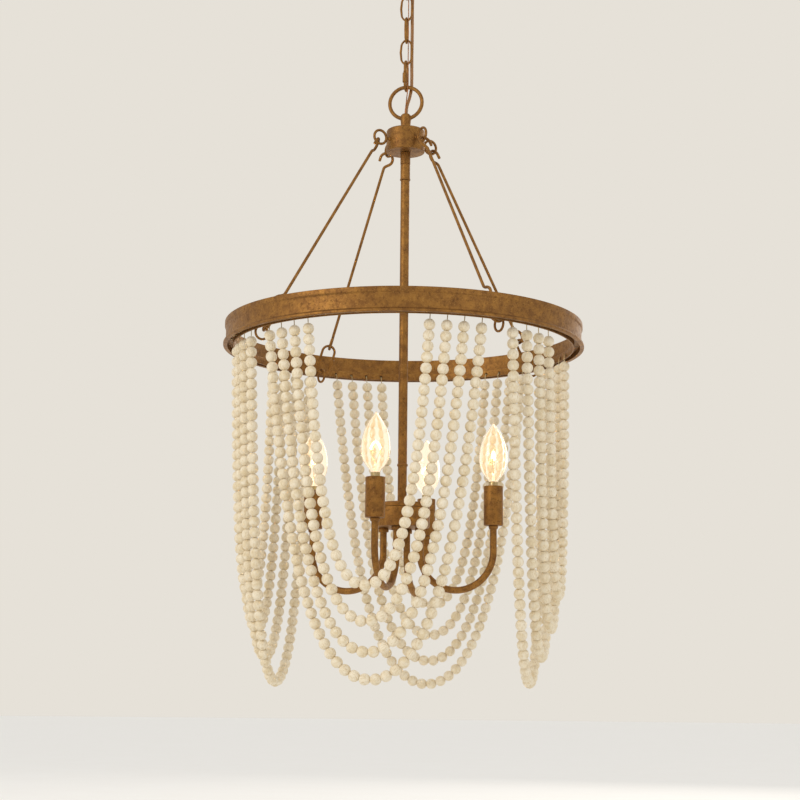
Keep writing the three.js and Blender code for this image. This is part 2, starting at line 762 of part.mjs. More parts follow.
function strand(degrees, drop) {
  const angle = THREE.MathUtils.degToRad(degrees);
  const reach = lipInner - tieInset;
  const halfSpan = reach * Math.sin(angle);
  const y = -reach * Math.cos(angle);
  const a = hangParameter(halfSpan, drop);
  const half = a * Math.sinh(halfSpan / a);
  const at = (s) => new THREE.Vector3(a * Math.asinh(s / a), y, tieZ - drop + Math.hypot(a, s) - a);
  const beaded = half - tieLength;
  const rows = [];
  let s = 0;
  while (s < beaded - beadPitch) {
    rows.push([s, beadRadius]);
    const beadsFromBottom = s / beadPitch;
    const [, spacing] = strandRowSpacing.find(([upTo]) => beadsFromBottom < upTo);
    s += beadPitch * spacing;
  }
  rows.push([beaded - beadPitch / 2, beadRadius]);
  rows.push([beaded - beadPitch / 6, beadRadius * lastBeadShare]);
  rows.push([beaded, 2 * tieWireRadius]);
  rows.push([half - 3 * tieWireRadius, tieWireRadius]);
  const side = rows.map(([along, radius]) => [at(along), radius]);
  const outward = new THREE.Vector3(Math.sin(angle), -Math.cos(angle), 0);
  const hole = at(half);
  const knot = tieInset + lipWall + tieKnotReach;
  side.push([hole.clone(), tieWireRadius]);
  side.push([hole.clone().addScaledVector(outward, knot - tieKnotRadius), tieWireRadius]);
  side.push([hole.clone().addScaledVector(outward, knot - tieKnotRadius / 2), tieKnotRadius]);
  side.push([hole.clone().addScaledVector(outward, knot + tieKnotRadius / 2), tieKnotRadius]);
  const mirrored = side.slice(1).reverse().map(([p, radius]) => [new THREE.Vector3(-p.x, p.y, p.z), radius]);
  const all = [...mirrored, ...side];
  return bar(all.map((row) => row[0]), all.map((row) => row[1]), strandSides);
}

Object.entries(strandHalfAngles).forEach(([side, angles], quarter) => {
  const out = groupAt(0, (quarter * Math.PI) / 2);
  angles.forEach((degrees, n) => {
    place(`strand_${side}_${n + 1}`, strand(degrees, strandDrops[n]), whitewashedWood, out);
  });
});

export default whole;
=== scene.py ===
import math
import random

import bmesh
import bpy
from mathutils import Euler, Matrix, Vector


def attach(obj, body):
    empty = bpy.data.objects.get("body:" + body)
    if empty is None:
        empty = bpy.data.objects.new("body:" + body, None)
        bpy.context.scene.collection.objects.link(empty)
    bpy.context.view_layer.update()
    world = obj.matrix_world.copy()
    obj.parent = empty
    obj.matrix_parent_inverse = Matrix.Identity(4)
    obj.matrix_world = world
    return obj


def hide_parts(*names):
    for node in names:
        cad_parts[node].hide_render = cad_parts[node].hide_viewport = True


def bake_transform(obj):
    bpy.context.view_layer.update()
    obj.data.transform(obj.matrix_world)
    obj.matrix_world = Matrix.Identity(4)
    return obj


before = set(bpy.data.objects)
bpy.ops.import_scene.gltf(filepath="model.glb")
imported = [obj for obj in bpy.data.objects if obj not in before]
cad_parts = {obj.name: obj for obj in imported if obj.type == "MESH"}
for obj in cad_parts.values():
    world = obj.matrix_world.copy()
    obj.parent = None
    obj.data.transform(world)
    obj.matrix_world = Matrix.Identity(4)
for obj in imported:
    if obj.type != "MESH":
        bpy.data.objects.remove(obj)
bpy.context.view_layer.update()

# Beaded chandelier. Pieces are drawn in millimetres in the shared frame and stored in metres.
# The origin is the middle of the ceiling plane, +Z is up, and -Y is the front group of strands.

MM = 0.001
scene = bpy.context.scene

# Camera: below the ring, a little to the right of the front, tilted up
CAMERA_DISTANCE = 2232.7
CAMERA_HEIGHT = -1034.7
CAMERA_AZIMUTH = 11.89
CAMERA_TILT = 9.8
CAMERA_PAN = 0.1
CAMERA_ROLL = 0.57
CAMERA_LENS = 80.03
CAMERA_SENSOR = 36

# Fits, and the rounding of edges that have no other
GAP = 0.3
OVERRUN = 1.0
ROD_ROUNDING = 0.2
TUBE_ROUNDING = 0.4

# Ceiling fitting
CANOPY_RADIUS = 63.5
CANOPY_HEIGHT = 25.0
CANOPY_WALL = 1.2
BAR_SIZE = (100.0, 20.0, 2.0)
BAR_SCREW_REACH = 42.0
BAR_SCREW_RADIUS = 2.3
BAR_EDGE = 0.4
NIPPLE_RADIUS = 5.0
NIPPLE_BORE = 3.7
NIPPLE_PITCH = 1.0
NIPPLE_THREAD_DEPTH = 0.55
NIPPLE_GRIP = 7.0

# Loops
LOOP_PATH = 21.5
LOOP_WIRE = 2.5
LOOP_BORE = 3.7
COLLAR_RADIUS = 10.0
COLLAR_HEIGHT = 8.5
COLLAR_EDGE = 0.8
NECK_INTO_LOOP = 8.8
HUB_NECK_LENGTH = 22.0
# Outline of a loop's neck: share of its length from its foot, and radius
NECK_OUTLINE = ((0.0, 7.3), (0.1, 7.1), (0.24, 6.6), (0.4, 6.45), (0.56, 6.8), (0.7, 7.15), (0.82, 7.0),
                (0.92, 6.2), (1.0, 4.6))
CAST_VOXEL = 0.5  # grid on which a cast loop's two shapes are melted together
CAST_SMOOTHING = 4  # rounds of smoothing of the melted skin

# Chain
LINK_WIRE = 1.6
LINK_HALF_WIDTH = 7.65  # to the middle of the wire
LINK_HALF_LENGTH = 16.9
LINK_OVAL = 0.42  # how much the link narrows towards its ends
LINK_CENTRES = (-93.0, -123.3, -153.6, -183.9)
QUICK_WIRE = 1.7
QUICK_HALF_WIDTH = 8.55
QUICK_HALF_LENGTH = 19.8
QUICK_OVAL = 0.06
QUICK_NUT_RADIUS = 3.2
QUICK_NUT_LENGTH = 13.0
QUICK_NUT_DROP = 4.7
QUICK_NUT_SHIFT = 0.1  # of the nut towards the link's middle
QUICK_NUT_EDGE = 0.35
QUICK_THREAD_LENGTH = 3.5
QUICK_THREAD_PITCH = 0.8
QUICK_THREAD_ROOT = 0.05  # heights of the thread above the wire
QUICK_THREAD_CREST = 0.3
CHAIN_QUICK_Z = -217.0

# Heights from the ceiling down
COLLAR_TOP_Z = -CANOPY_HEIGHT - GAP
CANOPY_LOOP_Z = -59.0
HUB_LOOP_Z = -253.8
HUB_NECK_TOP_Z = HUB_LOOP_Z - LOOP_PATH - LOOP_WIRE + NECK_INTO_LOOP
HUB_TOP_Z = HUB_NECK_TOP_Z - HUB_NECK_LENGTH - GAP

# Hub
HUB_RADIUS = 25.0
HUB_HEIGHT = 30.0
HUB_EDGE = 3.0
HUB_FOOT_EDGE = 1.0
HUB_BORE = 4.2
HUB_EYE_PATH = 9.05
HUB_EYE_WIRE = 1.7
HUB_EYE_REACH = 39.0
HUB_EYE_DROP = 16.0
HUB_EYE_FOOT = 2.6
HUB_EYE_FOOT_EDGE = 0.5
HUB_EYE_FOOT_LENGTH = 1.4
HUB_EYE_FOOT_REACH = 2.2  # where the foot has narrowed to the eye's wire

# Stem and body
STEM_RADIUS = 5.75
STEM_BORE = 4.0
COUPLING_TOP_Z = HUB_TOP_Z - HUB_HEIGHT - GAP
COUPLING_RADIUS = 6.5
COUPLING_HEIGHT = 15.5
SECTION_RADIUS = 6.25
SECTION_HEIGHT = 20.0
RIM_RADIUS = 6.8
RIM_HEIGHT = 2.0
STEM_EDGE = 0.5
GROOVE_DEPTH = 0.5
GROOVE_DROPS = (1, 0.7, 0.3)  # of the groove's outline under the coupling's shoulder
STEM_TOP_Z = COUPLING_TOP_Z - COUPLING_HEIGHT - SECTION_HEIGHT - RIM_HEIGHT - GAP
STEM_LENGTH = 451.0
STEM_FOOT_Z = STEM_TOP_Z - STEM_LENGTH
STEM_COLLAR_RISE = 79.0
STEM_COLLAR_HEIGHT = 3.0
STEM_COLLAR_EDGE = 0.8
BODY_RADIUS = 35.0
BODY_WALL = 1.5
BODY_FOOT_EDGE = 2.0
BODY_RIM_EDGE = 0.5
BODY_INNER_EDGE = 0.8
BODY_HEIGHT = 24.0
CUP_FLOOR_Z = STEM_FOOT_Z - GAP
CUP_FOOT_Z = CUP_FLOOR_Z - BODY_WALL
CUP_TOP_Z = CUP_FOOT_Z + BODY_HEIGHT
LID_HEIGHT = 6.0
LID_EDGE = 1.5

# Arms and candle lamps
ARM_TURN = -4
ARM_RADIUS = 4.25
ARM_ROOT_REACH = 24.0
ARM_BEND = 47.0
ARM_COLLAR_RADIUS = 6.5
ARM_COLLAR_HEIGHT = 5.0
ARM_COLLAR_EDGE = 0.9
ARM_STUB = 5.0
BEND_Z = CUP_FOOT_Z - 32.0
CANDLE_REACH = ARM_ROOT_REACH + 2 * ARM_BEND
CANDLE_FOOT_Z = BEND_Z + 32.5
CANDLE_RADIUS = 12.0
CANDLE_LENGTH = 49.0
CANDLE_WALL = 1.0
CANDLE_FOOT_EDGE = 1.2
CANDLE_RIM_EDGE = 0.45
CANDLE_INNER_EDGE = 0.4
PIPE_CUP_RADIUS = 6.0
PIPE_CUP_HEIGHT = 4.0
PIPE_CUP_TAPER = 0.8  # narrower at its foot
PIPE_CUP_RIM = 1.5
PIPE_CUP_EDGES = (0.5, 0.4, 0.3)
ARM_END_OVERLAP = 1.0  # of the arm's end and of the screw, inside the pipe cup
ARM_NIPPLE_RADIUS = 3.0
ARM_NIPPLE_LENGTH = 9.0
HOLDER_RADIUS = 9.5
HOLDER_BELOW_RIM = 5.0
HOLDER_FLOOR = 14.0
HOLDER_RIBS = 4
HOLDER_RIB_PITCH = 2
HOLDER_RIB_OUTLINE = ((0.5, 0), (0.5, 0.8), (0, 1.0), (0, 1.8))  # depth and rise
HOLDER_FOOT_EDGE = 0.8
HOLDER_RIM_EDGE = 0.5
BULB_BASE_RADIUS = 5.9
BULB_BASE_LENGTH = 20.0
BULB_RADIUS = 17.5
BULB_LENGTH = 80.0
BULB_WALL = 0.6
BULB_SKIRT = 5.6  # plain top of the screw base that shows above the sleeve
# Outline of the glass, as shares of its length and of its radius
BULB_SHARES = ((0.075, 0.33), (0.095, 0.37), (0.125, 0.46), (0.17, 0.64), (0.24, 0.84), (0.33, 0.96),
               (0.44, 1.0), (0.57, 0.96), (0.71, 0.8), (0.815, 0.58), (0.9, 0.33), (0.955, 0.16),
               (0.985, 0.07))
BULB_AXIS = 0.02  # radius that stands for the glass's axis in its outline
BULB_TIP_RADIUS = 1.5  # inside it the wall's thickness is taken along the axis
THROAT_INSET = 0.5  # glass throat inside the screw base, and below its top
THROAT_DEPTH = 3.0  # glass throat below the sleeve's rim
SCREW_WALL = 0.4
SCREW_RIM_EDGE = 0.2
SCREW_FLOOR = 5
SCREW_THREAD_START = 4.5
SCREW_THREAD_END = 4  # below the sleeve's rim
SCREW_THREAD_PITCH = 2.1
SCREW_THREAD_OUTLINE = ((0.55, 0), (0, 0.9), (0, 1.2))  # depth and rise of one thread
# Outlines as radius, height and rounding: above the base's foot, and above the sleeve's rim
SCREW_TIP_OUTLINE = ((0, 0), (2.2, 0, 0.6), (3.4, 1.2), (5.0, 3.2))
PRESS_OUTLINE = ((0, -4), (4.6, -4), (3.0, 4, 1.0), (1.7, 14, 1.0), (1.9, 18, 0.8), (0, 18))
# A support wire's points: distance from the axis and height above the sleeve's rim,
# then share of the filament's span and height above its ends
SUPPORT_WIRE_FOOT = ((0.9, 16), (1.2, 20))
SUPPORT_WIRE_TOP = ((0.8, -5), (1, 0))
SUPPORT_WIRE = 0.28
FILAMENT_RISE = 34
FILAMENT_SPAN = 6.5  # half of it
FILAMENT_BOW = ((-1, 0), (-0.6, 6), (0, 9), (0.6, 6), (1, 0))  # share of the span, and rise
FILAMENT_COIL = 1.1
FILAMENT_WIRE = 0.3
FILAMENT_PITCH = 1.7

# Ring
RING_RADIUS = 230.0
RING_TOP_Z = HUB_TOP_Z - 262.8
RING_HEIGHT = 30.0
RING_FOOT_Z = RING_TOP_Z - RING_HEIGHT
RING_WALL = 2.0
RING_WAIST = 3.2
RING_TOP_RIM = 1.5
RING_TOP_RIM_HEIGHT = 7.5
RING_RIM_HEIGHT = 3.0
LIP_RADIUS = 217.5
LIP_WALL = 1.8
LIP_HEIGHT = 9.5
WEB_WALL = 2.0
RING_EDGE = 0.4
RING_RIM_EDGE = 0.5
RING_FOOT_EDGE = 0.6
RING_CORNER = 0.8
RING_WAIST_CORNER = 1.2
RING_EYE_PATH = 8.5
RING_EYE_WIRE = 1.5
RING_EYE_RISE = -2.5
RING_EYE_REACH = LIP_RADIUS - LIP_WALL - RING_EYE_PATH - RING_EYE_WIRE / 2
WELD_RADIUS = 2.1
WELD_RISES = (1.4, 5.0)  # above the ring's foot
WELD_STRETCH = (0.6, 1.1, 1.0, 1)
WELD_SINK = 0.4

# Rods
ROD_RADIUS = 1.9
ROD_HOOK = 8.2
TIP_SHARES = (0.55, 0.88)  # of the rod's radius, at its first two sections from an end
# Turns of each rod and its quick link about the rod's line, from the ring's tangent outwards
ROD_TURNS = (0, 180, 33, 33)
# Hooks, in degrees from the way out of the rod and in shares of the hook's radius
UPPER_HOOK_START = 96
LOWER_HOOK_START = 160
HOOK_ARC_END = 96
UPPER_HOOK_TIP = ((-0.62, 0.97), (-0.4, 1.0))
HOOK_RETURN = ((-0.45, -0.9), (-0.8, -0.62), (-1.1, -0.26), (-1.4, -0.04), (-1.9, 0), (-2.7, 0))
OPEN_PIVOT_GAP = 0.8

# Bead strands
BEAD_RADIUS = 7.0
BEAD_PITCH = 13.0
TIE_WIRE = 0.55
TWINE = 0.8
TIE_HOLE = 2.0
TIE_Z = RING_FOOT_Z + 4.0
TIE_INSET = 2.2
TIE_KNOT_REACH = 3.4
TIE_LENGTH = 9.5
TIE_IN_BEAD = 1.0  # depth of the wire's second point in the last bead
TIE_BEND_LENGTH = 3.0  # where the wire starts to bend, below the hole along the line
TIE_BEND_REACH = 1.2  # from the hole outwards to the end of the bend
TIE_BEND_SAG = Vector((0, 0, -0.2))  # of that end under the hole
TIE_COIL_RADIUS = 1.05
TIE_COIL_WIRE = 0.7
TIE_COIL_TILTS = (-14, 10)
TIE_COIL_PITCH = 1.1
TIE_COIL_INSET = 0.9
HANG_SEARCH_SHARES = (0.02, 10)  # bounds of the hanging line's parameter, of half its span
HANG_SEARCH_STEPS = 60
BEAD_SIZES = (0.975, 1.0)  # smallest and largest bead, of the nominal one
BEAD_LEAN = 25  # of the grain, in degrees to each side
GRAIN_SPREAD = 500  # how far to each side the place of a bead's grain is taken from
SHADE_SEED = 7
STRAND_DROPS = (318.0, 358.5, 393.0, 424.0)
STRAND_ANGLES = {
    "front": (20.2, 25.8, 31.5, 37.6),
    "right": (22.9, 28.7, 34.7, 41.0),
    "back": (20.2, 25.8, 31.5, 37.6),
    "left": (22.9, 28.7, 34.7, 41.0),
}

# The first rod stands so many degrees round from the front
CORNER = 45

# Facets
EDGE_STEPS = 4
DRILL_STEPS = 24
SMALL_TURN_STEPS = 48
TURN_STEPS = 64
WIDE_TURN_STEPS = 96
DOME_STEPS = 18
LINK_STEPS = 56
HOOK_STEPS = 12
RING_STEPS = 224
WIRE_SIDES = 16
LOOP_STEPS = 48
ARM_BEND_STEPS = 48
BEAD_SIDES = 12
BEAD_LATITUDES = (-66.1, -44, -22, 0, 22, 44, 66.1)


# Colours and materials

def linear(code):
    """The linear colour of an sRGB hex value."""
    values = [((code >> shift) & 255) / 255 for shift in (16, 8, 0)]
    return [v / 12.92 if v <= 0.04045 else ((v + 0.055) / 1.055) ** 2.4 for v in values] + [1.0]


def add(material, kind, sockets=None, **settings):
    """Adds a node with its settings, and sets or links its inputs."""
    tree = material.node_tree
    node = tree.nodes.new(kind)
    for name, value in settings.items():
        setattr(node, name, value)
    for key, value in (sockets or {}).items():
        if isinstance(value, bpy.types.NodeSocket):
            tree.links.new(value, node.inputs[key])
        else:
            node.inputs[key].default_value = value
    return node


def new_material(name):
    material = bpy.data.materials.new(name)
    material.use_nodes = True
    material.node_tree.nodes.clear()
    return material


def across(size):
    """The scale at which a texture's features are so many millimetres across."""
    return 1 / (size * MM)


# Blender's socket numbers for a colour mix
FACTOR, FIRST, SECOND, MIXED = 0, 6, 7, 2


def in_space(material):
    return add(material, "ShaderNodeTexCoord").outputs["Object"]


def noise(material, place, size, detail, roughness=0.5, distortion=0.0):
    """Noise with features of so many millimetres."""
    sockets = {"Vector": place, "Scale": across(size), "Detail": detail, "Roughness": roughness,
               "Distortion": distortion}
    return add(material, "ShaderNodeTexNoise", sockets).outputs["Fac"]


def ramp(material, value, low, high, start=0.0, end=1.0):
    """Runs from start to end while the value runs from low to high."""
    sockets = {"Value": value, "From Min": low, "From Max": high, "To Min": start, "To Max": end}
    return add(material, "ShaderNodeMapRange", sockets).outputs[0]


def mix(material, factor, first, second):
    """Mixes two colours, each of them an output or an sRGB hex value."""
    sockets = {FACTOR: factor}
    for key, colour in ((FIRST, first), (SECOND, second)):
        sockets[key] = linear(colour) if isinstance(colour, int) else colour
    return add(material, "ShaderNodeMix", sockets, data_type="RGBA").outputs[MIXED]


def bumps(material, height, strength, depth):
    """Relief of so many millimetres."""
    sockets = {"Height": height, "Strength": strength, "Distance": depth * MM}
    return add(material, "ShaderNodeBump", sockets).outputs[0]


def finished(material, colour, roughness, sockets):
    """Ends a material with its surface shader."""
    base = {"Base Color": linear(colour) if isinstance(colour, int) else colour, "Roughness": roughness}
    shader = add(material, "ShaderNodeBsdfPrincipled", {**base, **sockets})
    add(material, "ShaderNodeOutputMaterial", {"Surface": shader.outputs[0]})
    return material


def aged_gold_lacquer():
    """Antique gold lacquer on steel: brown clouds, small rust specks, pale grains of painted highlight, a
    satin sheen.
    """
    m = new_material("antique_gold_lacquer_on_steel")
    place = in_space(m)
    clouds = noise(m, place, 11, 4.0, 0.6)
    mottle = noise(m, place, 3.2, 6.0, 0.72)
    grains = noise(m, place, 1.3, 4.0, 0.7)
    ground = mix(m, ramp(m, clouds, 0.36, 0.64), 0x7A5226, 0x9A6D32)
    rusted = mix(m, ramp(m, mottle, 0.53, 0.74), ground, 0x4E2E15)
    # Pale grains of painted highlight colour, scattered at random over the lacquer
    painted_highlights = mix(m, ramp(m, grains, 0.56, 0.74), rusted, 0xB68B4C)
    rough = ramp(m, mottle, 0.35, 0.65, 0.38, 0.6)
    return finished(m, painted_highlights, rough, {"Metallic": 0.72, "Normal": bumps(m, grains, 0.35, 0.15)})


def whitewashed_wood():
    """Turned wood beads under a thin chalky wash: cream, with the grain showing and a few dusky pores."""
    m = new_material("whitewashed_turned_wood")
    place = add(m, "ShaderNodeAttribute", attribute_name="bead_place").outputs["Vector"]
    tone = add(m, "ShaderNodeAttribute", attribute_name="bead_tone").outputs["Fac"]
    along = add(m, "ShaderNodeMapping", {"Vector": place, "Scale": (1.0, 1.0, 0.14)}).outputs[0]
    # Real grain lines are about 0.5 mm apart: drawn at 1.4 mm so that they show
    lines = noise(m, along, 1.4, 3.0, 0.6, 0.3)
    wash = noise(m, place, 6, 3.0)
    pores = noise(m, along, 0.8, 2.0)
    body = mix(m, tone, 0xDECDAA, 0xECE0C8)
    grained = mix(m, ramp(m, lines, 0.42, 0.66), body, 0xD3C19E)
    chalky = mix(m, ramp(m, wash, 0.4, 0.7), grained, 0xEBE1CB)
    pored = mix(m, ramp(m, pores, 0.62, 0.72), chalky, 0xC0A67C)
    return finished(m, pored, 0.72, {"IOR": 1.5, "Normal": bumps(m, lines, 0.3, 0.2)})


def blown_glass():
    """Clear blown glass of a lit lamp: see-through, slightly wavy, and full of warm light."""
    m = new_material("clear_blown_glass")
    waves = noise(m, in_space(m), 14, 1.0)
    return finished(m, 0xFFFDFA, 0.02, {"IOR": 1.48, "Transmission Weight": 1.0,
                                        "Normal": bumps(m, waves, 0.1, 0.3),
                                        "Emission Color": linear(0xFFD08A), "Emission Strength": 0.1})


def glowing_tungsten():
    """Tungsten at a warm white heat: the coil's glow varies a little along it."""
    m = new_material("glowing_tungsten_filament")
    glow = mix(m, noise(m, in_space(m), 2, 1.0), 0xFFC56E, 0xFFE0A0)
    return finished(m, 0x3A3430, 0.5, {"Metallic": 1.0, "Emission Color": glow, "Emission Strength": 60.0})


def plated_metal(name, light_code, dark_code, roughness, spangle):
    """Plated metal: a bright skin with patches of slightly different shade, as plating crystals leave."""
    m = new_material(name)
    place = in_space(m)
    crystals = add(m, "ShaderNodeTexVoronoi", {"Vector": place, "Scale": across(spangle)})
    scuffs = noise(m, place, 1.5, 4.0)
    shade = mix(m, crystals.outputs["Color"], light_code, dark_code)
    rough = ramp(m, scuffs, 0.3, 0.7, roughness, roughness + 0.15)
    return finished(m, shade, rough, {"Metallic": 1.0, "Normal": bumps(m, scuffs, 0.15, 0.05)})


def amber_jacket():
    """Clear amber vinyl over copper strands: a glossy skin with the strands' twist showing as streaks."""
    m = new_material("amber_vinyl_cord_jacket")
    place = in_space(m)
    leaning = add(m, "ShaderNodeMapping", {"Vector": place, "Rotation": (0.6, 0.35, 0.0)})
    strands = add(m, "ShaderNodeTexWave", {"Vector": leaning.outputs[0], "Scale": across(5),
                                           "Distortion": 1.5, "Detail": 2.0}, bands_direction="Z")
    clouds = noise(m, place, 12, 2.0)
    streaks = mix(m, strands.outputs["Fac"], 0x7A4D1C, 0xA9732F)
    return finished(m, mix(m, clouds, streaks, 0x8C5C26), 0.25,
                    {"IOR": 1.53, "Coat Weight": 0.4, "Coat Roughness": 0.1})


def bare_copper():
    """Drawn copper strands: warm metal, tarnished brown in patches."""
    m = new_material("bare_stranded_copper")
    patches = ramp(m, noise(m, in_space(m), 4, 4.0), 0.4, 0.65)
    return finished(m, mix(m, patches, 0xC98B5A, 0x7D4F2C), 0.32, {"Metallic": 1.0})


def moulded_phenolic():
    """Moulded phenolic resin: near-black brown, a dull sheen and a fine flow mark."""
    m = new_material("moulded_phenolic_resin")
    flow = noise(m, in_space(m), 5, 4.0, distortion=0.8)
    colour = mix(m, flow, 0x231B16, 0x3A2F27)
    return finished(m, colour, 0.45, {"IOR": 1.6, "Normal": bumps(m, flow, 0.1, 0.1)})


def spun_twine():
    """Waxed twine that the beads are threaded on: pale brown fibres."""
    m = new_material("waxed_spun_twine")
    fibres = noise(m, in_space(m), 0.8, 3.0)
    return finished(m, mix(m, fibres, 0x8E7650, 0xC2AB82), 0.8, {"IOR": 1.5})


gold = aged_gold_lacquer()
wood = whitewashed_wood()
glass = blown_glass()
tungsten = glowing_tungsten()
zinc = plated_metal("zinc_plated_steel", 0xC4C4BE, 0x9C9C98, 0.3, 6)
brass = plated_metal("nickel_plated_brass", 0xCDBB94, 0xA8946A, 0.25, 3)
jacket = amber_jacket()
copper = bare_copper()
phenolic = moulded_phenolic()
twine = spun_twine()


# Shapes, in millimetres

def closed_up(shape):
    """Merges what meets and turns the faces outwards."""
    bmesh.ops.remove_doubles(shape, verts=shape.verts[:], dist=0.001)
    bmesh.ops.recalc_face_normals(shape, faces=shape.faces[:])
    return shape


def moved(shape, *matrices):
    for matrix in matrices:
        bmesh.ops.transform(shape, matrix=matrix, verts=shape.verts[:])
    return shape


def at(x, y, z):
    return Matrix.Translation((x, y, z))


def about(axis, degrees):
    return Matrix.Rotation(math.radians(degrees), 4, axis)


def facing(direction):
    """Turns +Z to a direction."""
    return Vector(direction).to_track_quat("Z", "Y").to_matrix().to_4x4()


def joined(*shapes):
    whole = bmesh.new()
    for shape in shapes:
        mesh = bpy.data.meshes.new("blank")
        shape.to_mesh(mesh)
        shape.free()
        whole.from_mesh(mesh)
        bpy.data.meshes.remove(mesh)
    return whole


def as_object(shape):
    mesh = bpy.data.meshes.new("blank")
    shape.to_mesh(mesh)
    shape.free()
    thing = bpy.data.objects.new("blank", mesh)
    scene.collection.objects.link(thing)
    return thing


def evaluated(thing, *helpers):
    """The shape that a blank has after its modifiers. The blanks are used up."""
    bpy.context.view_layer.update()
    shape = bmesh.new()
    shape.from_object(thing, bpy.context.evaluated_depsgraph_get())
    for used in (thing, *helpers):
        mesh = used.data
        bpy.data.objects.remove(used)
        bpy.data.meshes.remove(mesh)
    return shape


def carved(shape, *cutters):
    """What the cutters leave of a shape."""
    thing = as_object(shape)
    tool = as_object(joined(*cutters))
    cut = thing.modifiers.new("cut", "BOOLEAN")
    cut.operation = "DIFFERENCE"
    cut.solver = "EXACT"
    cut.object = tool
    return evaluated(thing, tool)


def melted(*shapes):
    """One skin over shapes that run into each other, with softened corners, as a casting has."""
    thing = as_object(joined(*shapes))
    skin = thing.modifiers.new("skin", "REMESH")
    skin.mode = "VOXEL"
    skin.voxel_size = CAST_VOXEL
    shape = evaluated(thing)
    for _ in range(CAST_SMOOTHING):
        bmesh.ops.smooth_vert(shape, verts=shape.verts[:], factor=0.5, use_axis_x=True, use_axis_y=True,
                              use_axis_z=True)
    return shape


def softened(shape, parts, offset, segments, affect):
    """Rounds edges or corners of a shape."""
    bmesh.ops.bevel(shape, geom=parts, offset=offset, offset_type="OFFSET", segments=segments, profile=0.5,
                    affect=affect, material=-1)


def spun(outline, axis, steps):
    """What an outline makes in one turn round an axis through the origin."""
    bmesh.ops.spin(outline, geom=outline.verts[:] + outline.edges[:], cent=(0, 0, 0), axis=axis,
                   angle=2 * math.pi, steps=steps, use_merge=True)
    return closed_up(outline)


def turned(profile, steps=TURN_STEPS):
    """A turned shape about Z from (radius, height) points. A third number rounds that corner."""
    shape = bmesh.new()
    points = [shape.verts.new((p[0], 0, p[1])) for p in profile]
    for pair in zip(points, points[1:]):
        shape.edges.new(pair)
    if profile[0][0] > 0:
        shape.edges.new((points[-1], points[0]))
    for point, p in zip(points, profile):
        if len(p) > 2:
            softened(shape, [point], p[2], EDGE_STEPS, "VERTICES")
    return spun(shape, (0, 0, 1), steps)


def rod(radius, low, high, steps=TURN_STEPS, rounding=ROD_ROUNDING):
    """A round bar on the Z axis."""
    return turned([(0, low), (radius, low, rounding), (radius, high, rounding), (0, high)], steps)


def drill(radius, low, high, steps=DRILL_STEPS):
    """A straight cutter with sharp ends."""
    return rod(radius, low, high, steps, 0)


def hoop(path, wire, steps=LOOP_STEPS, sides=WIRE_SIDES):
    """A ring of wire in the XZ plane."""
    shape = bmesh.new()
    bmesh.ops.create_circle(shape, segments=sides, radius=wire, matrix=at(path, 0, 0))
    return spun(shape, (0, 1, 0), steps)


def swept(points, radius, sides=WIRE_SIDES):
    """A round bar along points, its section carried from point to point without twist."""
    path = [Vector(p) for p in points]
    radii = radius if isinstance(radius, list) else [radius] * len(path)
    last = len(path) - 1
    ways = [(path[min(i + 1, last)] - path[max(i - 1, 0)]).normalized() for i in range(last + 1)]
    shape = bmesh.new()
    start = at(*path[0]) @ facing(ways[0])
    bmesh.ops.create_circle(shape, segments=sides, radius=radii[0], matrix=start)
    first = edges = shape.edges[:]
    for i in range(1, last + 1):
        made = bmesh.ops.extrude_edge_only(shape, edges=edges)["geom"]
        edges = [g for g in made if isinstance(g, bmesh.types.BMEdge) and g.is_boundary]
        verts = [g for g in made if isinstance(g, bmesh.types.BMVert)]
        swing = ways[i - 1].rotation_difference(ways[i]).to_matrix().to_4x4()
        grow = Matrix.Scale(radii[i] / radii[i - 1], 4)
        bmesh.ops.transform(shape, matrix=at(*path[i]) @ swing @ grow @ at(*-path[i - 1]), verts=verts)
    bmesh.ops.holes_fill(shape, edges=first, sides=sides)
    bmesh.ops.holes_fill(shape, edges=edges, sides=sides)
    return closed_up(shape)


def smooth_line(points, steps):
    """A centripetal Catmull-Rom line through points, with so many steps between two of them."""
    p = [Vector(point) for point in points]
    p = [2 * p[0] - p[1], *p, 2 * p[-1] - p[-2]]
    line = []
    for i in range(1, len(p) - 2):
        a, b, c = (math.sqrt((p[i + k + 1] - p[i + k]).length) for k in (-1, 0, 1))
        leave = (p[i] - p[i - 1]) / a - (p[i + 1] - p[i - 1]) / (a + b) + (p[i + 1] - p[i]) / b
        arrive = (p[i + 1] - p[i]) / b - (p[i + 2] - p[i]) / (b + c) + (p[i + 2] - p[i + 1]) / c
        leave, arrive = leave * b, arrive * b
        for k in range(steps):
            t = k / steps
            line.append(p[i] * (2 * t**3 - 3 * t**2 + 1) + leave * (t**3 - 2 * t**2 + t)
                        + p[i + 1] * (3 * t**2 - 2 * t**3) + arrive * (t**3 - t**2))
    return [*line, p[-2]]


def rounded_tips(radius, count):
    """Radii along a bar that rounds off at both ends."""
    tip = [share * radius for share in TIP_SHARES]
    return [*tip, *[radius] * (count - 4), *reversed(tip)]


def piece(name, shape, material, body, slot, *nodes, crease=38):
    """Keeps a shape as a piece of the object that rides on a body and stands for CAD nodes."""
    mesh = bpy.data.meshes.new(name)
    bmesh.ops.scale(shape, vec=(MM, MM, MM), verts=shape.verts[:])
    shape.to_mesh(mesh)
    shape.free()
    mesh.shade_smooth()
    mesh.set_sharp_from_angle(angle=math.radians(crease))
    mesh.materials.append(material)
    thing = bpy.data.objects.new(name, mesh)
    scene.collection.objects.link(thing)
    if body:
        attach(thing, body)
    if nodes:
        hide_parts(*nodes)
    return thing


METAL = "aged_gold_metal"

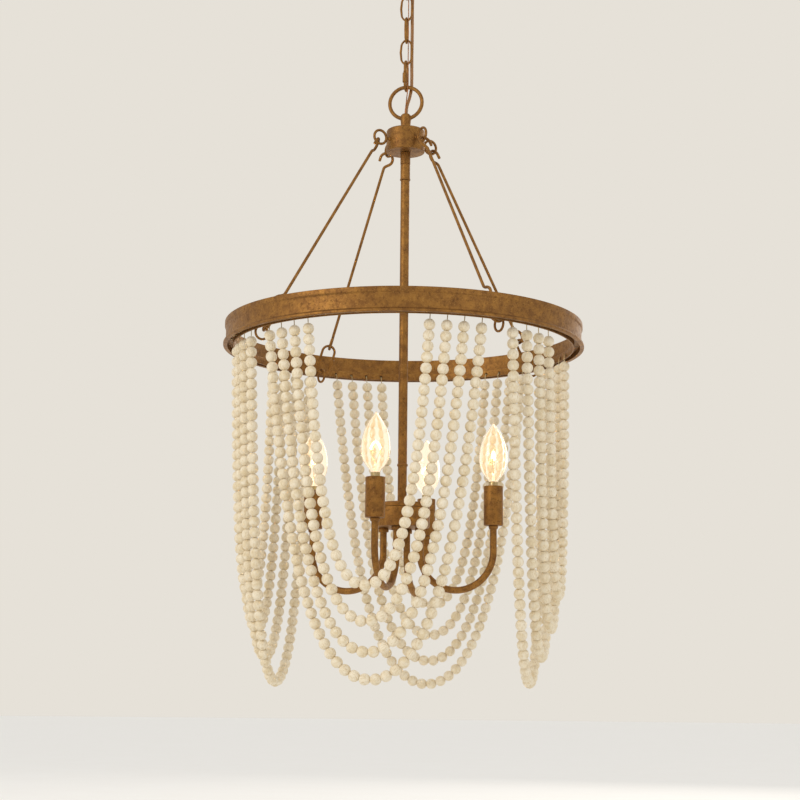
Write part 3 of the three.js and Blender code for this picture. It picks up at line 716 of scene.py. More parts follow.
# Supply cord and ground wire. The points repeat their routes in the part's source, in metres
CORD_RADIUS = 2.25
GROUND_STRAND_RADIUS = 0.36
GROUND_STRAND_REACH = 0.38
GROUND_TWIST = 9.0  # one turn of the strands
GROUND_STARTS = (0, 120, 240)  # where each strand starts round the wire, in degrees
CORD_ROUTE = (
    (0, 0.001, -0.003), (0, 0.001, -0.03), (0, 0.001, -0.044), (0.0024, 0.003, -0.057),
    (0.0062, 0.0056, -0.068), (0.007, 0.006, -0.08), (0.0068, 0.0054, -0.1), (0.0065, 0.0052, -0.125),
    (0.0066, 0.0052, -0.15), (0.0065, 0.0052, -0.175), (0.0064, 0.0052, -0.2), (0.0064, 0.0058, -0.222),
    (0.006, 0.0059, -0.233), (0.004, 0.0038, -0.246), (0.0012, 0.0013, -0.258), (0.0002, 0.0012, -0.268),
    (0, 0.0012, -0.279), (0, 0.0012, -0.306),
)
GROUND_ROUTE = (
    (0, -0.0024, -0.003), (0, -0.0024, -0.043), (0.001, -0.0032, -0.057), (0.0031, -0.0043, -0.07),
    (0.0033, -0.0043, -0.082), (0.0031, -0.0031, -0.096), (0.0031, -0.0031, -0.125),
    (0.0031, -0.0031, -0.18), (0.0031, -0.0031, -0.217), (0.0032, -0.0042, -0.228),
    (0.003, -0.0042, -0.237), (0.0014, -0.0032, -0.251), (0, -0.0025, -0.266), (0, -0.0025, -0.306),
)
# Stretches from the ceiling down: lower end, body above, body below where it lies between two
STRETCHES = (
    (CANOPY_LOOP_Z, "ceiling_fitting", None),
    (LINK_CENTRES[0], "ceiling_fitting", "chain_top"),
    (LINK_CENTRES[1], "chain_top", "chain"),
    (LINK_CENTRES[3], "chain", None),
    (CHAIN_QUICK_Z, "chain", "chain_end"),
    (HUB_LOOP_Z, "chain_end", "fixture"),
    (2 * HUB_LOOP_Z, "fixture", None),
)


def twisted(line, reach, pitch, start):
    """A strand's line that winds round another line."""
    wound = []
    travelled = 0
    for i, point in enumerate(line):
        way = (line[min(i + 1, len(line) - 1)] - line[max(i - 1, 0)]).normalized()
        travelled += (point - line[max(i - 1, 0)]).length
        turn = math.radians(start) + 2 * math.pi * travelled / pitch
        side = Vector((1, 0, 0)) - way * way.x
        side.normalize()
        wound.append(point + reach * (side * math.cos(turn) + way.cross(side) * math.sin(turn)))
    return wound


def in_stretches(name, tube, material, slot, node):
    """Cuts a tube at the stretches' ends, so that each rides on a body, or stays where it is when it lies
    between two.
    """
    top = 0
    for n, (bottom, upper, lower) in enumerate(STRETCHES, 1):
        part = tube.copy()
        for height, way in ((top, 1), (bottom, -1)):
            cut = bmesh.ops.bisect_plane(part, geom=part.verts[:] + part.edges[:] + part.faces[:],
                                         plane_co=(0, 0, height), plane_no=(0, 0, way), clear_outer=True)
            rim = [e for e in cut["geom_cut"] if isinstance(e, bmesh.types.BMEdge)]
            bmesh.ops.holes_fill(part, edges=rim, sides=0)
        stretch = piece(f"{name}_{n}", closed_up(part), material, None if lower else upper, slot, node)
        if lower:
            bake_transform(stretch)
        top = bottom
    tube.free()


cord_line = smooth_line([Vector(p) / MM for p in CORD_ROUTE], steps=5)
cord_tube = swept(cord_line, CORD_RADIUS, sides=14)
in_stretches("supply_cord_jacket", cord_tube, jacket, "cord_jacket", "supply_cord")
ground_line = smooth_line([Vector(p) / MM for p in GROUND_ROUTE], steps=16)
ground_strands = []
for start in GROUND_STARTS:
    wound = twisted(ground_line, GROUND_STRAND_REACH, GROUND_TWIST, start)
    ground_strands.append(swept(wound, GROUND_STRAND_RADIUS, sides=6))
in_stretches("ground_wire_strands", joined(*ground_strands), copper, "bare_copper", "ground_wire")


# Ceiling fitting

def ceiling_bar():
    """A flat strap with two screw holes and a hole for the nipple."""
    shape = bmesh.new()
    bmesh.ops.create_cube(shape, size=1)
    bmesh.ops.scale(shape, vec=BAR_SIZE, verts=shape.verts[:])
    moved(shape, at(0, 0, -BAR_SIZE[2] / 2))
    softened(shape, shape.edges[:], BAR_EDGE, 2, "EDGES")
    low, high = -BAR_SIZE[2] - OVERRUN, OVERRUN
    drills = [drill(NIPPLE_RADIUS + GAP, low, high, 32)]
    for x in (-BAR_SCREW_REACH, BAR_SCREW_REACH):
        drills.append(moved(drill(BAR_SCREW_RADIUS, low, high), at(x, 0, 0)))
    return carved(shape, *drills)


def threaded_tube():
    """Ridges stand for the thread."""
    foot = COLLAR_TOP_Z - NIPPLE_GRIP
    root = NIPPLE_RADIUS - NIPPLE_THREAD_DEPTH
    ridges = []
    z = foot
    while z < -NIPPLE_PITCH / 2:
        ridges += [(root, z), (NIPPLE_RADIUS, z + NIPPLE_PITCH / 2)]
        z += NIPPLE_PITCH
    return turned([(NIPPLE_BORE, foot), *ridges, (root, 0), (NIPPLE_BORE, 0)], steps=40)


def canopy():
    """A spun dome with a rounded lip at the ceiling."""
    middle = CANOPY_RADIUS - CANOPY_HEIGHT
    angles = [math.pi / 2 * k / DOME_STEPS for k in range(DOME_STEPS + 1)]
    inner = CANOPY_HEIGHT - CANOPY_WALL
    outside = [(middle + CANOPY_HEIGHT * math.sin(a), -CANOPY_HEIGHT * math.cos(a)) for a in angles]
    inside = [(middle + inner * math.sin(a), -inner * math.cos(a)) for a in reversed(angles)]
    foot = NIPPLE_RADIUS + GAP
    return turned([(foot, -CANOPY_HEIGHT), *outside, *inside, (foot, CANOPY_WALL - CANOPY_HEIGHT)],
                  steps=128)


def cast_loop(centre, foot, tip, *extras):
    """A cast ring on a bored neck that narrows from its foot to a domed tip inside the ring."""
    ring = moved(hoop(LOOP_PATH, LOOP_WIRE, steps=72), at(0, 0, centre))
    outline = [(radius, foot + share * (tip - foot)) for share, radius in NECK_OUTLINE]
    neck = turned([(0, foot), *outline, (0, tip)], SMALL_TURN_STEPS)
    whole = melted(ring, neck, *extras)
    return carved(whole, drill(LOOP_BORE, min(foot, tip) - OVERRUN, max(foot, tip) + OVERRUN, 32))


def canopy_loop():
    """The cast loop with its screw collar, bored for the nipple."""
    collar = rod(COLLAR_RADIUS, COLLAR_TOP_Z - COLLAR_HEIGHT, COLLAR_TOP_Z, SMALL_TURN_STEPS, COLLAR_EDGE)
    top = CANOPY_LOOP_Z + LOOP_PATH + LOOP_WIRE
    whole = cast_loop(CANOPY_LOOP_Z, COLLAR_TOP_Z, top - NECK_INTO_LOOP, collar)
    bore_foot = COLLAR_TOP_Z - NIPPLE_GRIP - GAP
    return carved(whole, drill(NIPPLE_RADIUS + GAP, bore_foot, COLLAR_TOP_Z + OVERRUN, 40))


piece("ceiling_strap_bar", ceiling_bar(), zinc, "ceiling_fitting", "zinc_steel", "ceiling_bar")
piece("canopy_nipple", threaded_tube(), zinc, "ceiling_fitting", "zinc_steel", "threaded_nipple", crease=70)
piece("canopy_dome", canopy(), gold, "ceiling_fitting", METAL, "canopy")
piece("canopy_screw_collar_loop", canopy_loop(), gold, "ceiling_fitting", METAL, "canopy_loop", crease=55)


# Chain

def long_link(half_width, half_length, wire, oval):
    """A link bent from wire in the XZ plane, a little fuller at its middle."""
    shape = hoop(half_width, wire, LINK_STEPS)
    middle = wire / 50  # what lies nearer to the middle plane keeps its height
    for vert in shape.verts:
        if abs(vert.co.z) > middle:
            vert.co.z += math.copysign(half_length - half_width, vert.co.z)
        vert.co.x *= 1 - oval * (vert.co.z / (half_length + wire)) ** 2
    return shape


def threaded_sleeve():
    """Sleeve nut of a quick link: six flats, rounded ends, and thread showing on the wire above."""
    nut = bmesh.new()
    bmesh.ops.create_cone(nut, cap_ends=True, segments=6, radius1=QUICK_NUT_RADIUS,
                          radius2=QUICK_NUT_RADIUS, depth=QUICK_NUT_LENGTH)
    softened(nut, nut.edges[:], QUICK_NUT_EDGE, 2, "EDGES")
    ridges = []
    for k in range(2 * int(QUICK_THREAD_LENGTH / QUICK_THREAD_PITCH)):
        height = QUICK_THREAD_CREST if k % 2 else QUICK_THREAD_ROOT
        ridges.append((QUICK_WIRE + height, QUICK_NUT_LENGTH / 2 + k * QUICK_THREAD_PITCH / 2))
    thread = turned([(0, ridges[0][1]), *ridges, (0, ridges[-1][1])], steps=24)
    return joined(nut, thread)


def quick_link():
    """A quick link in the XZ plane, with its sleeve nut at +X."""
    wire = long_link(QUICK_HALF_WIDTH, QUICK_HALF_LENGTH, QUICK_WIRE, QUICK_OVAL)
    nut = moved(threaded_sleeve(), at(QUICK_HALF_WIDTH - QUICK_NUT_SHIFT, 0, -QUICK_NUT_DROP))
    return joined(wire, nut)


for n, centre in enumerate(LINK_CENTRES, 1):
    link = moved(long_link(LINK_HALF_WIDTH, LINK_HALF_LENGTH, LINK_WIRE, LINK_OVAL),
                 about("Z", 90 if n % 2 else 0), at(0, 0, centre))
    piece(f"chain_wire_link_{n}", link, gold, "chain_top" if n == 1 else "chain", METAL, f"chain_link_{n}")
foot_link = moved(quick_link(), about("Z", -90), at(0, 0, CHAIN_QUICK_Z))
piece("chain_foot_quick_link", foot_link, gold, "chain_end", METAL, "chain_quick_link")


# Hub, stem and body

def hub():
    """The drum and the eyes at its four corners, each on a short foot."""
    body = turned([(HUB_BORE, -HUB_HEIGHT), (HUB_RADIUS, -HUB_HEIGHT, HUB_FOOT_EDGE),
                   (HUB_RADIUS, 0, HUB_EDGE), (HUB_BORE, 0)], WIDE_TURN_STEPS)
    shapes = [moved(body, at(0, 0, HUB_TOP_Z))]
    foot_start, foot_end = HUB_RADIUS - OVERRUN, HUB_EYE_REACH - HUB_EYE_PATH
    eye_z = HUB_TOP_Z - HUB_EYE_DROP
    for n in range(4):
        corner = about("Z", 90 * n - CORNER)
        eye = moved(hoop(HUB_EYE_PATH, HUB_EYE_WIRE), at(HUB_EYE_REACH, 0, eye_z), corner)
        foot = turned([(0, foot_start), (HUB_EYE_FOOT, foot_start),
                       (HUB_EYE_FOOT, HUB_RADIUS + HUB_EYE_FOOT_LENGTH, HUB_EYE_FOOT_EDGE),
                       (HUB_EYE_WIRE, HUB_RADIUS + HUB_EYE_FOOT_REACH), (HUB_EYE_WIRE, foot_end),
                       (0, foot_end)], steps=24)
        moved(foot, about("Y", 90), at(0, 0, eye_z), corner)
        shapes += [eye, foot]
    return joined(*shapes)


def coupling():
    """Coupling, plain section and rim under the hub, with a turned groove at the shoulder."""
    shoulder = COUPLING_TOP_Z - COUPLING_HEIGHT
    section = shoulder - SECTION_HEIGHT
    rim = section - RIM_HEIGHT
    groove = SECTION_RADIUS - GROOVE_DEPTH
    lip, floor, roof = (shoulder - drop for drop in GROOVE_DROPS)
    return turned([(STEM_BORE, rim), (RIM_RADIUS, rim, STEM_EDGE), (RIM_RADIUS, section, STEM_EDGE),
                   (SECTION_RADIUS, section), (SECTION_RADIUS, lip), (groove, floor), (groove, roof),
                   (COUPLING_RADIUS, shoulder), (COUPLING_RADIUS, COUPLING_TOP_Z, STEM_EDGE),
                   (STEM_BORE, COUPLING_TOP_Z)], SMALL_TURN_STEPS)


def tube(outer, inner, low, high, rounding=TUBE_ROUNDING):
    """A round tube on the Z axis."""
    return turned([(inner, low), (outer, low, rounding), (outer, high, rounding), (inner, high)],
                  SMALL_TURN_STEPS)


def body_cup():
    """A drawn cup with a hole in its floor for each arm."""
    inner = BODY_RADIUS - BODY_WALL
    cup = turned([(0, CUP_FOOT_Z), (BODY_RADIUS, CUP_FOOT_Z, BODY_FOOT_EDGE),
                  (BODY_RADIUS, CUP_TOP_Z, BODY_RIM_EDGE), (inner, CUP_TOP_Z),
                  (inner, CUP_FLOOR_Z, BODY_INNER_EDGE), (0, CUP_FLOOR_Z)], WIDE_TURN_STEPS)
    drills = [moved(drill(ARM_RADIUS + GAP, CUP_FOOT_Z - OVERRUN, CUP_FLOOR_Z + OVERRUN),
                    at(0, -ARM_ROOT_REACH, 0), about("Z", ARM_TURN + 90 * n)) for n in range(4)]
    return carved(cup, *drills)


lid_foot = CUP_TOP_Z + GAP
lid_top = lid_foot + LID_HEIGHT
lid = turned([(STEM_RADIUS + GAP, lid_foot), (BODY_RADIUS, lid_foot, BODY_RIM_EDGE),
              (BODY_RADIUS, lid_top, LID_EDGE), (STEM_RADIUS + GAP, lid_top)], WIDE_TURN_STEPS)
hub_loop = cast_loop(HUB_LOOP_Z, HUB_NECK_TOP_Z - HUB_NECK_LENGTH, HUB_NECK_TOP_Z)
stem_pipe = tube(STEM_RADIUS, STEM_BORE, STEM_FOOT_Z, STEM_TOP_Z)
collar_top = STEM_FOOT_Z + STEM_COLLAR_RISE
thin_collar = tube(RIM_RADIUS, STEM_RADIUS + GAP, collar_top - STEM_COLLAR_HEIGHT, collar_top,
                   STEM_COLLAR_EDGE)
piece("hub_cast_loop", hub_loop, gold, "fixture", METAL, "hub_loop", crease=55)
for name, shape, node in (
    ("hub_drum_with_eyes", hub(), "hub"),
    ("stem_coupling_sleeve", coupling(), "stem_coupling"),
    ("stem_pipe", stem_pipe, "stem_tube"),
    ("stem_thin_collar", thin_collar, "stem_collar"),
    ("body_drum", body_cup(), "body_cup"),
    ("body_drum_lid", lid, "body_lid"),
):
    piece(name, shape, gold, "fixture", METAL, node)


# Arms and candle lamps, in a frame that looks out along -Y

def arm():
    """A bar bent down from the body and up to the candle, with its collar, pipe cup and screw."""
    collar_top = CUP_FOOT_Z - GAP
    collar_foot = collar_top - ARM_COLLAR_HEIGHT
    cup_top = CANDLE_FOOT_Z - GAP
    cup_foot = cup_top - PIPE_CUP_HEIGHT
    line = [(0, -ARM_ROOT_REACH, CUP_FLOOR_Z + ARM_STUB), (0, -ARM_ROOT_REACH, collar_foot)]
    for k in range(ARM_BEND_STEPS + 1):
        angle = math.pi * k / ARM_BEND_STEPS
        reach = ARM_ROOT_REACH + ARM_BEND * (1 - math.cos(angle))
        line.append((0, -reach, BEND_Z - ARM_BEND * math.sin(angle)))
    line.append((0, -CANDLE_REACH, cup_foot + ARM_END_OVERLAP))
    collar = rod(ARM_COLLAR_RADIUS, collar_foot, collar_top, SMALL_TURN_STEPS, ARM_COLLAR_EDGE)
    foot_edge, waist_edge, top_edge = PIPE_CUP_EDGES
    pipe_cup = turned([(0, cup_foot), (PIPE_CUP_RADIUS - PIPE_CUP_TAPER, cup_foot, foot_edge),
                       (PIPE_CUP_RADIUS, cup_top - PIPE_CUP_RIM, waist_edge),
                       (PIPE_CUP_RADIUS, cup_top, top_edge), (0, cup_top)], SMALL_TURN_STEPS)
    screw = rod(ARM_NIPPLE_RADIUS, cup_top - ARM_END_OVERLAP, cup_top + ARM_NIPPLE_LENGTH, steps=24)
    return joined(swept(line, ARM_RADIUS, sides=24), moved(collar, at(0, -ARM_ROOT_REACH, 0)),
                  moved(pipe_cup, at(0, -CANDLE_REACH, 0)), moved(screw, at(0, -CANDLE_REACH, 0)))


def lamp_holder():
    """Keyless holder with a ribbed skirt."""
    floor = CANDLE_FOOT_Z + CANDLE_WALL + GAP
    top = CANDLE_FOOT_Z + CANDLE_LENGTH - HOLDER_BELOW_RIM
    screw = ARM_NIPPLE_RADIUS + GAP
    socket = BULB_BASE_RADIUS + GAP
    ribs = []
    for k in range(HOLDER_RIBS):
        z = top - HOLDER_RIBS * HOLDER_RIB_PITCH + HOLDER_RIB_PITCH * k
        ribs += [(HOLDER_RADIUS - depth, z + rise) for depth, rise in HOLDER_RIB_OUTLINE]
    return turned([(screw, floor), (HOLDER_RADIUS, floor, HOLDER_FOOT_EDGE), *ribs,
                   (HOLDER_RADIUS, top, HOLDER_RIM_EDGE), (socket, top), (socket, floor + HOLDER_FLOOR),
                   (screw, floor + HOLDER_FLOOR)], SMALL_TURN_STEPS)


def candle_sleeve():
    """Drawn sleeve with a turned-in foot and a softened rim."""
    top = CANDLE_FOOT_Z + CANDLE_LENGTH
    floor = CANDLE_FOOT_Z + CANDLE_WALL
    screw = ARM_NIPPLE_RADIUS + GAP
    inner = CANDLE_RADIUS - CANDLE_WALL
    return turned([(screw, CANDLE_FOOT_Z), (CANDLE_RADIUS, CANDLE_FOOT_Z, CANDLE_FOOT_EDGE),
                   (CANDLE_RADIUS, top, CANDLE_RIM_EDGE), (inner, top, CANDLE_INNER_EDGE),
                   (inner, floor, CANDLE_INNER_EDGE), (screw, floor)])


NECK_Z = CANDLE_FOOT_Z + CANDLE_LENGTH
FILAMENT_Z = NECK_Z + FILAMENT_RISE


def bulb_glass():
    """Candle-shaped envelope: a thin wall, closed at the tip and open in its screw base."""
    outline = [(share * BULB_RADIUS, 0, NECK_Z + rise * BULB_LENGTH) for rise, share in BULB_SHARES]
    outline += [(BULB_AXIS, 0, NECK_Z + BULB_LENGTH)]
    outside = [(p.x, p.z) for p in smooth_line(outline, steps=5)][:-1]
    inside = []
    for radius, z in reversed(outside):
        sunk = 0 if radius > BULB_TIP_RADIUS else BULB_WALL
        inside.append((max(radius - BULB_WALL, BULB_AXIS), z - sunk))
    foot = NECK_Z - THROAT_DEPTH
    rim = NECK_Z + BULB_SKIRT - THROAT_INSET
    throat = BULB_BASE_RADIUS - THROAT_INSET
    return turned([(throat - BULB_WALL, foot), (throat, foot), (throat, rim), *outside,
                   (0, NECK_Z + BULB_LENGTH), (0, NECK_Z + BULB_LENGTH - BULB_WALL), *inside,
                   (throat - BULB_WALL, rim)], SMALL_TURN_STEPS)


def raised(outline, base):
    """An outline with its heights taken from a base."""
    return [(radius, base + rise, *rounding) for radius, rise, *rounding in outline]


def screw_base():
    """Small screw base: rounded threads, insulator and contact."""
    foot = NECK_Z - BULB_BASE_LENGTH
    top = NECK_Z + BULB_SKIRT
    inner = BULB_BASE_RADIUS - SCREW_WALL
    threads = []
    z = foot + SCREW_THREAD_START
    while z < NECK_Z - SCREW_THREAD_END:
        threads += [(BULB_BASE_RADIUS - depth, z + rise) for depth, rise in SCREW_THREAD_OUTLINE]
        z += SCREW_THREAD_PITCH
    return turned([*raised(SCREW_TIP_OUTLINE, foot), *threads, (BULB_BASE_RADIUS, top, SCREW_RIM_EDGE),
                   (inner, top), (inner, foot + SCREW_FLOOR), (0, foot + SCREW_FLOOR)], steps=40)


def glass_press():
    """Glass stem inside the bulb that carries the two support wires."""
    return turned(raised(PRESS_OUTLINE, NECK_Z), steps=32)


def support_wires():
    """Two wires that spread from the press to the ends of the filament."""
    wires = []
    for side in (-1, 1):
        foot = [(side * reach, 0, NECK_Z + rise) for reach, rise in SUPPORT_WIRE_FOOT]
        top = [(side * FILAMENT_SPAN * share, 0, FILAMENT_Z + rise) for share, rise in SUPPORT_WIRE_TOP]
        wires.append(swept(smooth_line([*foot, *top], steps=5), SUPPORT_WIRE, sides=6))
    return joined(*wires)


def filament():
    """A coil that rises in a bow from one support wire to the other."""
    bow = [(FILAMENT_SPAN * share, 0, FILAMENT_Z + rise) for share, rise in FILAMENT_BOW]
    coil = twisted(smooth_line(bow, steps=40), FILAMENT_COIL, FILAMENT_PITCH, start=0)
    return swept(coil, FILAMENT_WIRE, sides=5)


arm_shape, holder_shape, sleeve_shape = arm(), lamp_holder(), candle_sleeve()
bulb_shapes = (
    ("glass", bulb_glass(), glass, "bulb_glass"),
    ("screw_base", screw_base(), brass, METAL),
    ("stem_press", glass_press(), glass, "bulb_glass"),
    ("support_wires", support_wires(), brass, METAL),
    ("filament", filament(), tungsten, METAL),
)
for n in range(1, 5):
    turn = about("Z", ARM_TURN + 90 * (n - 1))
    out = turn @ at(0, -CANDLE_REACH, 0)
    piece(f"curved_arm_{n}", moved(arm_shape.copy(), turn), gold, "fixture", METAL, f"arm_{n}")
    piece(f"keyless_holder_{n}", moved(holder_shape.copy(), out), phenolic, "fixture",
          "lamp_holder_plastic", f"lamp_holder_{n}")
    piece(f"candle_cover_{n}", moved(sleeve_shape.copy(), out), gold, "fixture", METAL,
          f"candle_sleeve_{n}")
    for part, shape, material, slot in bulb_shapes:
        stands_for = [f"bulb_{n}"] if part == "glass" else []
        piece(f"bulb_{part}_{n}", moved(shape.copy(), out), material, f"lamp_{n}", slot, *stands_for)


# Ring

def ring():
    """The rolled band with its lip inside, drilled for the wire ties, and the four welded eyes."""
    waist = RING_RADIUS - RING_WAIST
    band_inner = waist - RING_WALL
    lip_inner = LIP_RADIUS - LIP_WALL
    top_rim = waist + RING_TOP_RIM
    web_top = RING_FOOT_Z + LIP_HEIGHT
    web_bottom = web_top - WEB_WALL
    band = turned([
        (band_inner, RING_FOOT_Z), (RING_RADIUS, RING_FOOT_Z, RING_FOOT_EDGE),
        (RING_RADIUS, RING_FOOT_Z + RING_RIM_HEIGHT, RING_CORNER),
        (waist, RING_FOOT_Z + RING_RIM_HEIGHT + RING_WAIST / 2, RING_WAIST_CORNER),
        (waist, RING_TOP_Z - RING_TOP_RIM_HEIGHT, RING_CORNER),
        (top_rim, RING_TOP_Z - RING_TOP_RIM_HEIGHT + RING_TOP_RIM, RING_RIM_EDGE),
        (top_rim, RING_TOP_Z, RING_RIM_EDGE), (band_inner, RING_TOP_Z, RING_EDGE),
        (band_inner, web_top, RING_CORNER), (lip_inner, web_top, RING_CORNER),
        (lip_inner, RING_FOOT_Z, RING_EDGE), (LIP_RADIUS, RING_FOOT_Z, RING_EDGE),
        (LIP_RADIUS, web_bottom, RING_CORNER), (band_inner, web_bottom, RING_CORNER),
    ], RING_STEPS)
    drills = []
    for quarter, angles in enumerate(STRAND_ANGLES.values()):
        for angle in angles:
            for side in (-1, 1):
                hole = drill(TIE_HOLE, -LIP_WALL / 2 - OVERRUN, LIP_WALL / 2 + OVERRUN, 16)
                drills.append(moved(hole, about("X", 90), at(0, LIP_WALL / 2 - LIP_RADIUS, TIE_Z),
                                    about("Z", 90 * quarter + side * angle)))
    shapes = [carved(band, *drills)]
    for n in range(4):
        corner = about("Z", 90 * n - CORNER)
        eye = hoop(RING_EYE_PATH, RING_EYE_WIRE)
        shapes.append(moved(eye, at(RING_EYE_REACH, 0, RING_FOOT_Z + RING_EYE_RISE), corner))
        for rise in WELD_RISES:
            weld = bmesh.new()
            bmesh.ops.create_uvsphere(weld, u_segments=16, v_segments=10, radius=WELD_RADIUS)
            shapes.append(moved(weld, Matrix.Diagonal(WELD_STRETCH),
                                at(lip_inner - WELD_SINK, 0, RING_FOOT_Z + rise), corner))
    return joined(*shapes)


piece("ring_with_lip_and_eyes", ring(), gold, "ring", METAL, "ring", crease=30)


# Rods and their quick links, at the four corners, in a frame that looks out along -Y

def hook(centre, out, side, tip, free_end):
    """A hook from its free end round to the straight of the rod. Its arc starts at free_end degrees."""
    shares = [*tip]
    for k in range(HOOK_STEPS + 1):
        angle = math.radians(free_end - (free_end + HOOK_ARC_END) * k / HOOK_STEPS)
        shares.append((math.cos(angle), math.sin(angle)))
    shares += HOOK_RETURN
    return [centre + ROD_HOOK * (along * out + beside * side) for along, beside in shares]


hub_eye = Vector((0, -HUB_EYE_REACH, HUB_TOP_Z - HUB_EYE_DROP))
ring_eye = Vector((0, -RING_EYE_REACH, RING_FOOT_Z + RING_EYE_RISE))
down = (ring_eye - hub_eye).normalized()
tangent = Vector((1, 0, 0))
in_plane = tangent.cross(down).normalized()
upper_centre = hub_eye + down * (HUB_EYE_PATH + ROD_HOOK - ROD_RADIUS - HUB_EYE_WIRE - GAP)
quick_foot = ring_eye - down * (RING_EYE_PATH - RING_EYE_WIRE - QUICK_WIRE - OPEN_PIVOT_GAP)
quick_middle = quick_foot - down * QUICK_HALF_LENGTH
lower_centre = quick_middle - down * (QUICK_HALF_LENGTH + ROD_HOOK - ROD_RADIUS - QUICK_WIRE - GAP)
upper_hook = hook(upper_centre, -down, tangent, UPPER_HOOK_TIP, UPPER_HOOK_START)
lower_hook = hook(lower_centre, down, in_plane, (), LOWER_HOOK_START)
rod_line = smooth_line([*upper_hook, *reversed(lower_hook)], steps=4)
rod_shape = swept(rod_line, rounded_tips(ROD_RADIUS, len(rod_line)))
link_turn = Vector((0, 0, -1)).rotation_difference(down).to_matrix().to_4x4()
link_shape = moved(quick_link(), about("Z", 180), link_turn, at(*quick_middle))
for n, turn in enumerate(ROD_TURNS, 1):
    turned_rod = at(*hub_eye) @ Matrix.Rotation(math.radians(turn), 4, down) @ at(*-hub_eye)
    corner = about("Z", CORNER + 90 * (n - 1)) @ turned_rod
    piece(f"hooked_rod_{n}", moved(rod_shape.copy(), corner), gold, f"rod_{n}", METAL, f"hanging_rod_{n}")
    piece(f"rod_foot_quick_link_{n}", moved(link_shape.copy(), corner), gold, f"rod_{n}", METAL,
          f"rod_quick_link_{n}")


# Bead strands

def hang_parameter(half_span, drop):
    """Parameter of the hanging line with a given half span and drop."""
    low, high = (share * half_span for share in HANG_SEARCH_SHARES)
    for _ in range(HANG_SEARCH_STEPS):
        middle = (low + high) / 2
        if middle * (math.cosh(half_span / middle) - 1) > drop:
            low = middle
        else:
            high = middle
    return (low + high) / 2


def bead():
    """A turned bead about Z, flat where it meets the next one."""
    angles = [math.radians(degrees) for degrees in BEAD_LATITUDES]
    profile = [(BEAD_RADIUS * math.cos(a), BEAD_RADIUS * math.sin(a)) for a in angles]
    return turned([(0, profile[0][1]), *profile, (0, profile[-1][1])], BEAD_SIDES)


def strand(name, quarter, degrees, drop, shades, body, node):
    """Beads, twine and wire ties of one strand. Lengths along the line run from its lowest point."""
    angle = math.radians(degrees)
    reach = LIP_RADIUS - LIP_WALL - TIE_INSET
    half_span = reach * math.sin(angle)
    a = hang_parameter(half_span, drop)
    half = a * math.sinh(half_span / a)
    beaded = half - TIE_LENGTH
    count = round(2 * beaded / BEAD_PITCH)
    turn = about("Z", 90 * quarter)

    def place(s):
        return Vector((a * math.asinh(s / a), -reach * math.cos(angle),
                       TIE_Z - drop + math.hypot(a, s) - a))

    template = bead()
    local = [v.co.copy() for v in template.verts]
    blank = bpy.data.meshes.new("blank")
    template.to_mesh(blank)
    template.free()
    beads = bmesh.new()
    grain, tones = [], []
    for k in range(count):
        s = -beaded + (k + 0.5) * 2 * beaded / count
        way = Vector((a, 0, s))
        size = shades.uniform(*BEAD_SIZES)
        spin = about("Z", shades.uniform(0, 360))
        start = len(beads.verts)
        beads.from_mesh(blank)
        beads.verts.ensure_lookup_table()
        bmesh.ops.transform(beads, matrix=turn @ at(*place(s)) @ facing(way) @ spin @ Matrix.Scale(size, 4),
                            verts=beads.verts[start:])
        lean = about("X", shades.uniform(-BEAD_LEAN, BEAD_LEAN))
        shift = Vector([shades.uniform(-GRAIN_SPREAD, GRAIN_SPREAD) for _ in range(3)])
        tone = shades.uniform(0, 1)
        grain += [(lean @ spot + shift) * MM for spot in local]
        tones += [tone] * len(local)
    bpy.data.meshes.remove(blank)
    thing = piece(f"{name}_beads", beads, wood, body, "bead_wood", node, crease=60)
    place_layer = thing.data.attributes.new("bead_place", "FLOAT_VECTOR", "POINT")
    place_layer.data.foreach_set("vector", [c for spot in grain for c in spot])
    tone_layer = thing.data.attributes.new("bead_tone", "FLOAT", "POINT")
    tone_layer.data.foreach_set("value", tones)

    reach_out = beaded - BEAD_PITCH
    line = [place(-reach_out + 2 * reach_out * k / (2 * count)) for k in range(2 * count + 1)]
    piece(f"{name}_twine", moved(swept(line, TWINE, sides=6), turn), twine, body, "bead_wood")

    knot = TIE_INSET + LIP_WALL + TIE_KNOT_REACH
    ties = []
    for side in (-1, 1):
        hole = place(side * half)
        out = Vector((side * math.sin(angle), -math.cos(angle), 0))
        ends = [place(side * (beaded - BEAD_PITCH)), place(side * (beaded - TIE_IN_BEAD)),
                place(side * (half - TIE_BEND_LENGTH)), hole + out * TIE_BEND_REACH + TIE_BEND_SAG,
                hole + out * TIE_INSET, hole + out * knot]
        ties.append(swept(smooth_line(ends, steps=5), TIE_WIRE, sides=8))
        for k, tilt in enumerate(TIE_COIL_TILTS):
            coil = hoop(TIE_COIL_RADIUS, TIE_COIL_WIRE, steps=14, sides=8)
            spot = hole + out * (knot - TIE_COIL_INSET + TIE_COIL_PITCH * k)
            ties.append(moved(coil, about("X", 90 + tilt), facing(out), at(*spot)))
    piece(f"{name}_wire_ties", moved(joined(*ties), turn), brass, body, METAL)


shades = random.Random(SHADE_SEED)
for quarter, (side, angles) in enumerate(STRAND_ANGLES.items()):
    for n, (degrees, drop) in enumerate(zip(angles, STRAND_DROPS), 1):
        strand(f"swag_{side}_{n}", quarter, degrees, drop, shades, f"beads_{side}_{n}",
               f"strand_{side}_{n}")


# Floor, lights and camera, in metres

FLOOR_RADIUS = 30
FLOOR_Z = -1.25
WORLD_LIGHT = 0.86
LAMP_TARGET = (0, 0, -0.6)
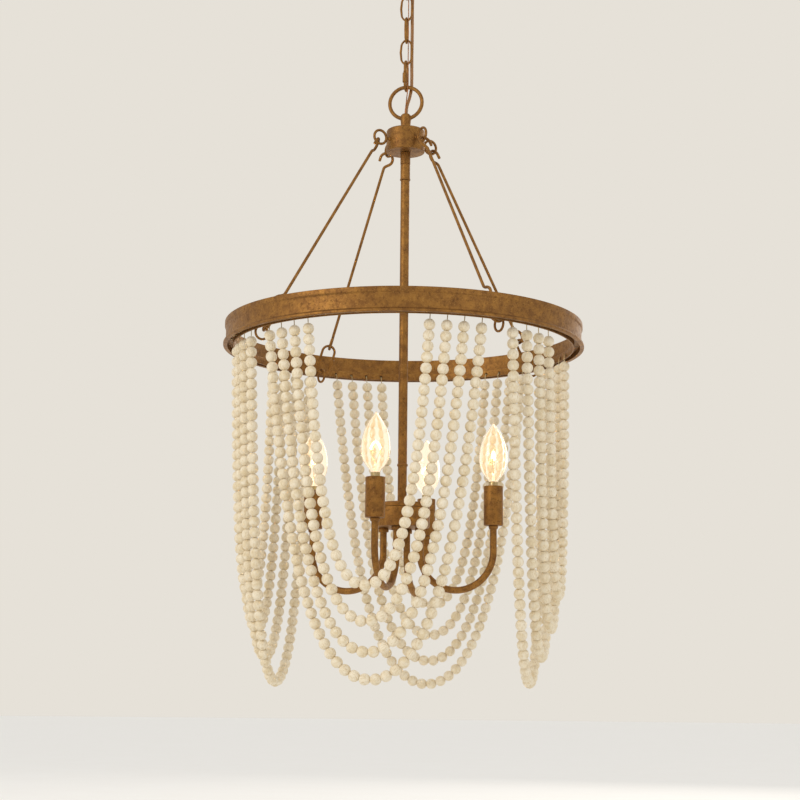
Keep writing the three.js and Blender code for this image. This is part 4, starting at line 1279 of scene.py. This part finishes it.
# Softboxes: place, size, power in watts and colour
SOFTBOXES = {
    "key_softbox": ((-1.9, -2.3, 0.5), 1.6, 24, 0xFFF6EA),
    "fill_softbox": ((2.4, -1.7, -0.3), 2.0, 6, 0xFFFFFF),
    "back_softbox": ((0.6, 2.6, 0.4), 1.8, 14, 0xFFF8F0),
}


def stage_floor():
    m = new_material("pale_studio_floor")
    dust = noise(m, in_space(m), 120, 3.0)
    finished(m, mix(m, dust, 0xF3F0EA, 0xF6F4EF), 0.9, {})
    shape = bmesh.new()
    bmesh.ops.create_circle(shape, cap_ends=True, segments=96, radius=FLOOR_RADIUS,
                            matrix=at(0, 0, FLOOR_Z))
    mesh = bpy.data.meshes.new("studio_floor")
    shape.to_mesh(mesh)
    shape.free()
    mesh.materials.append(m)
    floor = bpy.data.objects.new("studio_floor", mesh)
    scene.collection.objects.link(floor)


stage_floor()

# Rays from the camera, and those that metal and glass send on, see the backdrop. The others see the light
world = bpy.data.worlds.new("soft_studio")
world.use_nodes = True
world.node_tree.nodes.clear()
scene.world = world
rays = add(world, "ShaderNodeLightPath")
seen = add(world, "ShaderNodeMath", {0: rays.outputs["Is Camera Ray"], 1: rays.outputs["Is Glossy Ray"]},
           operation="MAXIMUM")
shown = add(world, "ShaderNodeMath", {0: seen.outputs[0], 1: rays.outputs["Is Transmission Ray"]},
            operation="MAXIMUM")
lighting = add(world, "ShaderNodeBackground", {"Color": linear(0xFFFFFF), "Strength": WORLD_LIGHT})
backdrop = add(world, "ShaderNodeBackground", {"Color": linear(0xE6E1D8), "Strength": 1.0})
blend = add(world, "ShaderNodeMixShader", {0: shown.outputs[0], 1: lighting.outputs[0],
                                           2: backdrop.outputs[0]})
add(world, "ShaderNodeOutputWorld", {"Surface": blend.outputs[0]})

for name, (place, size, power, code) in SOFTBOXES.items():
    data = bpy.data.lights.new(name, "AREA")
    data.shape = "SQUARE"
    data.size = size
    data.energy = power
    data.color = linear(code)[:3]
    lamp = bpy.data.objects.new(name, data)
    lamp.location = place
    lamp.rotation_euler = (Vector(LAMP_TARGET) - Vector(place)).to_track_quat("-Z", "Y").to_euler()
    scene.collection.objects.link(lamp)

azimuth = math.radians(CAMERA_AZIMUTH)
camera_data = bpy.data.cameras.new("photo_camera")
camera_data.lens = CAMERA_LENS
camera_data.sensor_width = CAMERA_SENSOR
camera = bpy.data.objects.new("photo_camera", camera_data)
camera.location = Vector((CAMERA_DISTANCE * math.sin(azimuth), -CAMERA_DISTANCE * math.cos(azimuth),
                          CAMERA_HEIGHT)) * MM
aimed = Euler((math.radians(90 + CAMERA_TILT), 0, azimuth + math.radians(CAMERA_PAN))).to_matrix()
camera.rotation_euler = (aimed @ Matrix.Rotation(math.radians(CAMERA_ROLL), 3, "Z")).to_euler()
scene.collection.objects.link(camera)
scene.camera = camera

scene.view_settings.view_transform = "Standard"
bpy.context.view_layer.update()
